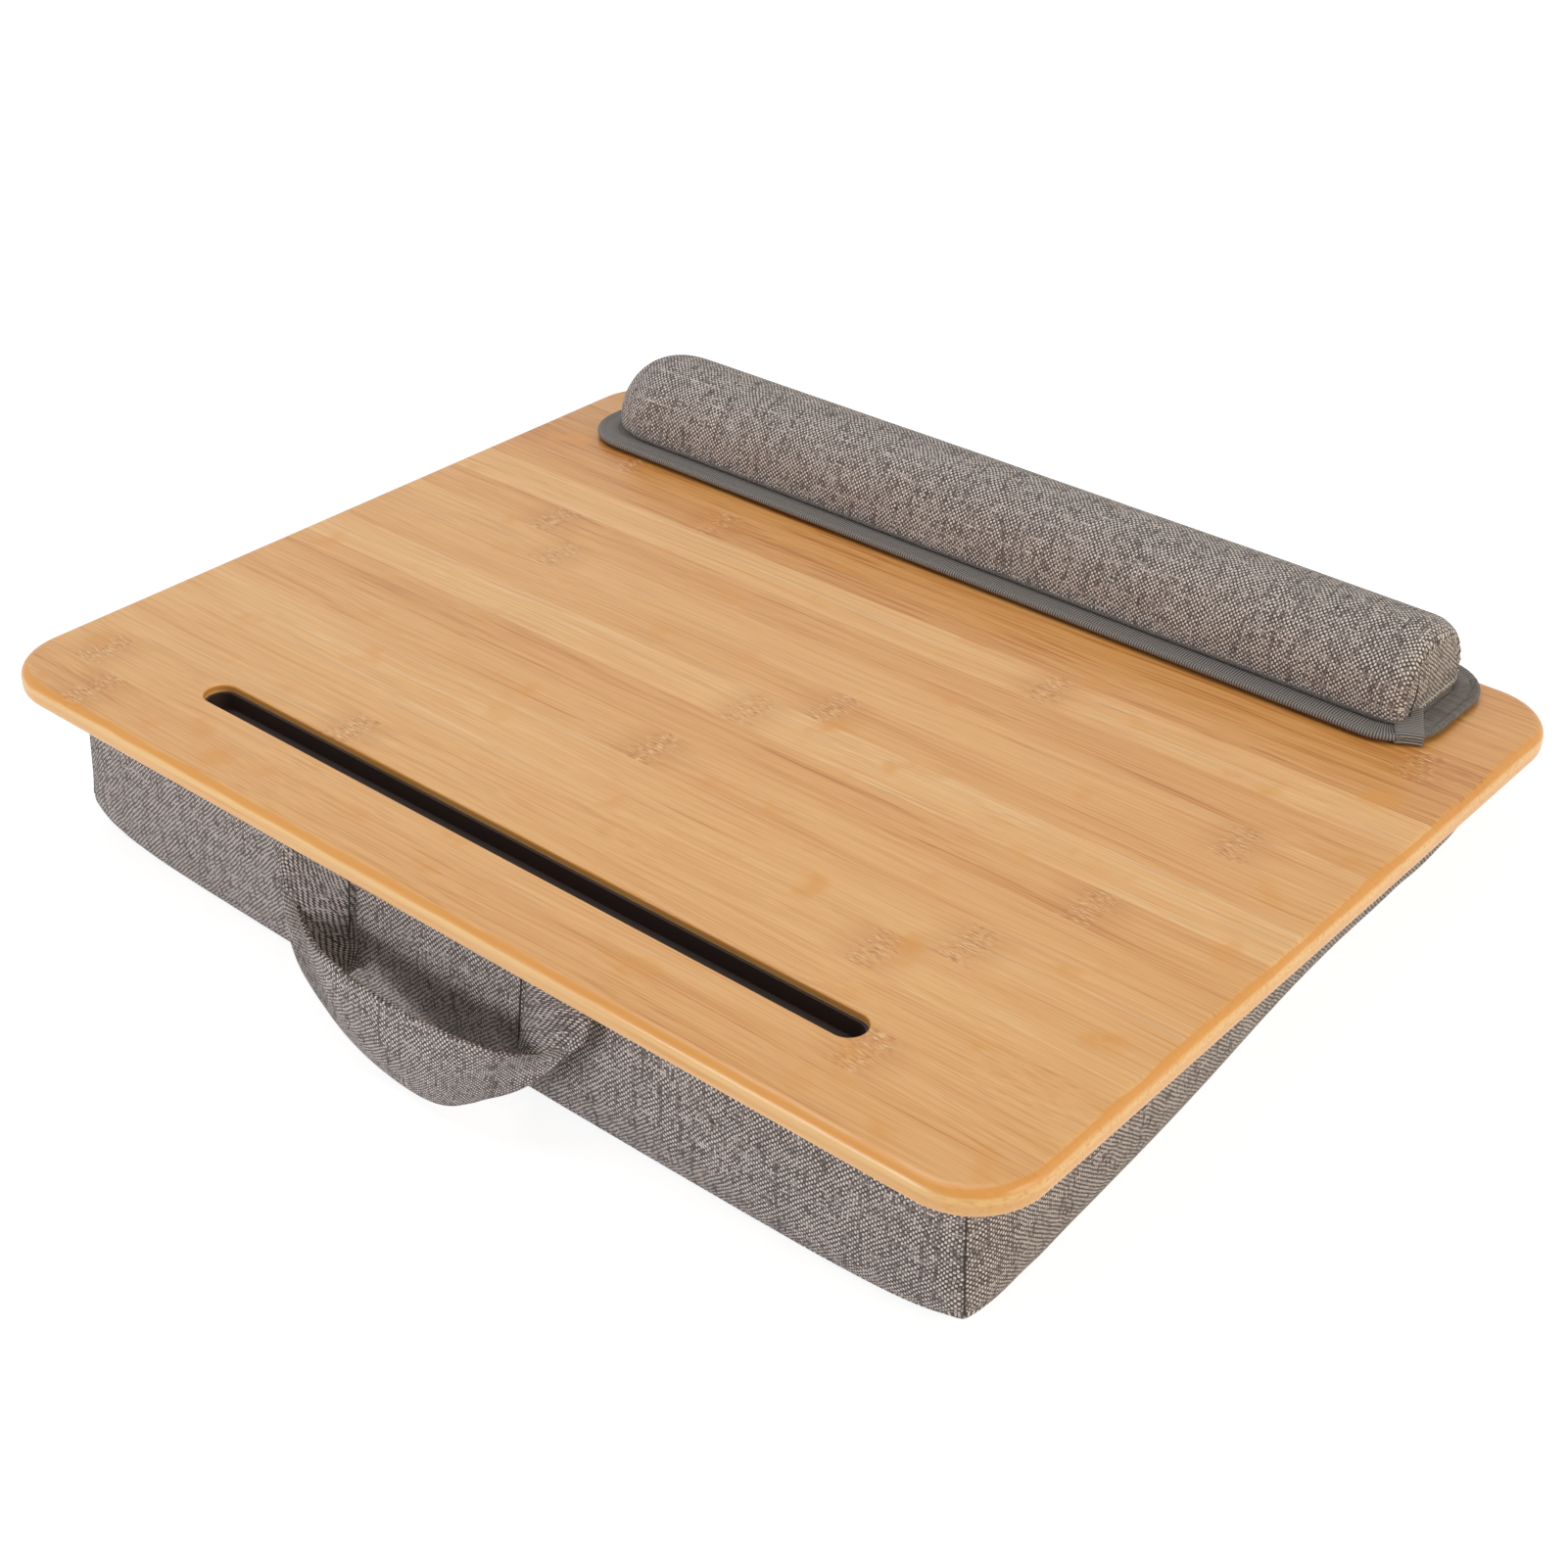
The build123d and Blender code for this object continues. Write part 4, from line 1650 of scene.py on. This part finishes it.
    def _build_binding(self) -> None:
        """Build the ribbed tape folded over the base cloth's edge."""
        straight_x = self.base_width / 2 - self.base_radius
        straight_y = self.base_depth / 2 - self.base_radius
        mesh = bmesh.new()
        ring = self._tape_section(mesh, Vector((-straight_x, -self.base_depth / 2, 0)))
        runs = dict.fromkeys(ring, 0.0)
        length = 0.0
        corner = Vector((-straight_x, -straight_y, 0))
        heading = Vector((1, 0, 0))
        bend = Matrix.Rotation(math.pi / 2 / self.bends, 3, "Z")
        for straight in (2 * straight_x, 2 * straight_y) * 2:
            corner += heading * straight
            steps = max(4, round(straight / self.tape_step))
            for number in range(steps + self.bends):
                ring = self._extrude(mesh, ring)
                if number < steps:
                    bmesh.ops.translate(mesh, verts=ring, vec=heading * straight / steps)
                    length += straight / steps
                else:
                    bmesh.ops.rotate(mesh, verts=ring, cent=corner, matrix=bend)
                    length += self.base_radius * math.pi / 2 / self.bends
                runs.update(dict.fromkeys(ring, length))
            heading.rotate(Matrix.Rotation(math.pi / 2, 3, "Z"))
        self._lay_tape(mesh, runs)

    def _tape_section(self, mesh: Mesh, start: Vector) -> list[Vertex]:
        """Add the folded tape's section as an open chain.

        The upper leaf lies on the base cloth, a thicker bead rolls over its edge, and the
        lower leaf runs back under it.

        Args:
            mesh: The mesh that takes it.
            start: The place of its fold.

        Returns:
            Its vertices, from the upper hem to the lower one.
        """
        high = self.base_high + self.tape_wrap
        low = self.base_low - self.tape_wrap
        middle = (high + low) / 2
        bead = (high - low) / 2
        points = [(inward * MM, self.base_high + above * MM) for inward, above in self.tape_leaf]
        for i in range(self.bends + 1):
            angle = math.pi / 2 + math.pi * i / self.bends
            inward = bead - self.tape_bead_out + math.cos(angle) * bead
            points.append((inward, middle + math.sin(angle) * bead))
        points.append((points[0][0], low))
        vertices = [mesh.verts.new(start + Vector((0, inward, z))) for inward, z in points]
        for before, after in zip(vertices, vertices[1:]):
            mesh.edges.new((before, after))
        return vertices

    def _extrude(self, mesh: Mesh, ring: list[Vertex]) -> list[Vertex]:
        """Extrude the tape's section by one step, in place.

        Args:
            mesh: The tape.
            ring: The section's vertices in order.

        Returns:
            The new section's vertices in the same order.
        """
        edges = [mesh.edges.get(pair) for pair in zip(ring, ring[1:])]
        made = bmesh.ops.extrude_edge_only(mesh, edges=edges)["geom"]
        fresh = {part for part in made if isinstance(part, Vertex)}
        follow = []
        for vertex in ring:
            ends = (edge.other_vert(vertex) for edge in vertex.link_edges)
            follow.append(next(end for end in ends if end in fresh))
        return follow

    def _lay_tape(self, mesh: Mesh, runs: dict[Vertex, float]) -> None:
        """Give the tape its ribs' direction, close its ring and put it in place.

        The tape ends under its tail: round the right end the base cloth rolls over itself.

        Args:
            mesh: The tape.
            runs: How far along the tape each vertex is.
        """
        add_uv(
            mesh,
            lambda face, vertex: Vector((runs[vertex], vertex.co.z * 2 + abs(vertex.co.y))),
        )
        bmesh.ops.remove_doubles(mesh, verts=mesh.verts, dist=WELD)
        shift = Vector((self.base_shift, self.base_centre_y, 0))
        bmesh.ops.translate(mesh, verts=mesh.verts, vec=shift)
        roll = mesh.copy()
        for part, right in ((mesh, False), (roll, True)):
            middles = ((face, face.calc_center_median().x) for face in part.faces)
            extra = [face for face, x in middles if (x > self.tape_end_x) != right]
            bmesh.ops.delete(part, geom=extra, context="FACES")
            bmesh.ops.transform(part, matrix=TRAY, verts=part.verts)
        tape = new_piece("rest_binding_tape", mesh, self.finishes.binding)
        place_piece(tape, Body.WRIST_REST, Slot.BINDING, "rest_binding", "rest_binding_tab")
        edge = new_piece("rest_rolled_edge", roll, self.finishes.base)
        place_piece(edge, Body.WRIST_REST, Slot.BASE)

    def _build_tail(self) -> None:
        """Build the tape's lapped tail, which lies over the flange's right front corner."""
        columns, rows = self.tail_cells
        profile = [Vector((along, 0, z)) for along, z in self.tail_section]
        line = [spline_point(profile, column / columns) for column in range(columns + 1)]
        runs = distances(line)

        def place(column: int, row: int) -> tuple[Vector, Vector]:
            """Place a point of the tail's grid.

            Args:
                column: Its number along the tail.
                row: Its number across it.

            Returns:
                Its places in the tail's own frame, in mm, and on the flat tape.
            """
            side = 2 * row / rows - 1
            across = side * self.tail_width / 2
            rise = Vector((0, across, self.tail_crown * (1 - side**2)))
            return line[column] + rise, Vector((runs[column], across)) * MM

        mesh = cloth_grid(columns, rows, place)
        start = Matrix.Translation((*self.tail_start, 0))
        turn = Matrix.Rotation(self.tail_heading, 4, "Z")
        to_object = TRAY @ Matrix.Scale(MM, 4) @ start @ turn
        bmesh.ops.transform(mesh, matrix=to_object, verts=mesh.verts)
        tail = new_piece("rest_tape_tail", mesh, self.finishes.binding)
        give_wall(tail, self.tail_thickness * MM, offset=-1.0)
        place_piece(tail, Body.WRIST_REST, Slot.BINDING)


@dataclass(frozen=True)
class Softbox:
    """A round soft lamp that points at the object."""

    name: str
    place: Triple
    size: float
    power: float
    colour: str

    def hang(self) -> None:
        """Hang the lamp."""
        data = bpy.data.lights.new(self.name, "AREA")
        data.shape = "DISK"
        data.size = self.size
        data.energy = self.power
        data.color = srgb(self.colour)[:3]
        lamp = bpy.data.objects.new(self.name, data)
        lamp.location = self.place
        lamp.rotation_euler = (-Vector(self.place)).to_track_quat("-Z", "Y").to_euler()
        bpy.context.scene.collection.objects.link(lamp)


@dataclass
class Studio:
    """The plain pale stage: floor, soft lamps and the camera."""

    floor_size: float = 8.0
    # How much of the floor glows white to the eye, which leaves the rest for its shadows
    floor_glow: float = 0.62
    glow_strength: float = 1.38
    air: float = 0.28
    white: str = "#FFFFFF"
    # A warm lamp on the right, one low in front and one overhead
    lamps: tuple[Softbox, ...] = (
        Softbox("key_softbox", (2.0, 0.3, 0.8), 1.2, 19.0, "#FFF3E0"),
        Softbox("front_softbox", (-0.6, -1.9, 0.25), 0.9, 17.0, "#F8F9FF"),
        Softbox("top_softbox", (-0.3, 0.1, 1.6), 1.4, 10.5, "#FFFFFF"),
    )
    lens: float = 55.73
    sensor_width: float = 36.0
    camera_at: Triple = (0.4884, -0.5272, 0.5464)
    azimuth: float = math.radians(42.375)
    elevation: float = math.radians(36.382)
    roll: float = math.radians(-3.443)

    def build(self) -> None:
        """Build the whole stage."""
        self._build_floor()
        self._build_world()
        for lamp in self.lamps:
            lamp.hang()
        self._build_camera()

    def _to_the_eye(self, recipe: Recipe, lit: float, seen: float) -> Socket:
        """Choose a level by whether the eye sees the surface or the object is lit by it.

        Args:
            recipe: The material or world.
            lit: The level for the light that falls on the object.
            seen: The level straight to the camera, in gloss and through glass.

        Returns:
            The level.
        """
        rays = recipe.add("LightPath", {}).node.outputs
        either = rays["Is Camera Ray"]
        for name in ("Is Glossy Ray", "Is Transmission Ray"):
            either = recipe.add("Math", {0: either, 1: rays[name]}, operation="MAXIMUM")
        return recipe.add("MapRange", {"Value": either, "To Min": lit, "To Max": seen})

    def _build_floor(self) -> None:
        """Lay the floor, white to the camera where no shadow falls."""
        mesh = bmesh.new()
        bmesh.ops.create_grid(mesh, x_segments=1, y_segments=1, size=self.floor_size / 2)
        recipe = start_material("white_paper_sweep", Roughness=0.95, Specular_IOR_Level=0.0)
        white = srgb(self.white)
        recipe.shader.inputs["Base Color"].default_value = white
        glow = self._to_the_eye(recipe, 0.0, self.floor_glow)
        shine = recipe.add("Emission", {"Color": white, "Strength": self.glow_strength})
        paper = recipe.shader.outputs["BSDF"]
        surface = recipe.add("MixShader", {0: glow, 1: paper, 2: shine})
        tree = recipe.owner.node_tree
        tree.links.new(surface, tree.nodes["Material Output"].inputs["Surface"])
        new_piece("studio_floor", mesh, recipe.owner)

    def _build_world(self) -> None:
        """Light the room evenly, and show plain white behind everything."""
        world = bpy.data.worlds.new("studio_air")
        world.use_nodes = True
        recipe = Recipe(world, world.node_tree.nodes["Background"])
        recipe.shader.inputs["Color"].default_value = srgb(self.white)
        level = self._to_the_eye(recipe, self.air, 1.0)
        world.node_tree.links.new(level, recipe.shader.inputs["Strength"])
        bpy.context.scene.world = world

    def _build_camera(self) -> None:
        """Set the camera where the photograph was taken from."""
        back = Vector(
            (
                math.sin(self.azimuth) * math.cos(self.elevation),
                -math.cos(self.azimuth) * math.cos(self.elevation),
                math.sin(self.elevation),
            )
        )
        data = bpy.data.cameras.new("photograph_view")
        data.lens = self.lens
        data.sensor_width = self.sensor_width
        data.clip_start = 0.01
        camera = bpy.data.objects.new("photograph_view", data)
        aim = (-back).to_track_quat("-Z", "Y").to_matrix().to_4x4()
        turn = Matrix.Rotation(self.roll, 4, "Z")
        camera.matrix_world = Matrix.Translation(self.camera_at) @ aim @ turn
        bpy.context.scene.collection.objects.link(camera)
        bpy.context.scene.camera = camera
        bpy.context.scene.view_settings.view_transform = "Standard"


def main() -> None:
    """Build the stage and every sub-assembly."""
    logging.basicConfig(level=logging.INFO, format="%(name)s %(message)s")
    Studio().build()
    finishes = Finishes()
    TrayBoard(finishes).build()
    Cushion(finishes).build()
    Handle(finishes).build()
    WristRest(finishes).build()


if __name__ == "__main__":
    main()
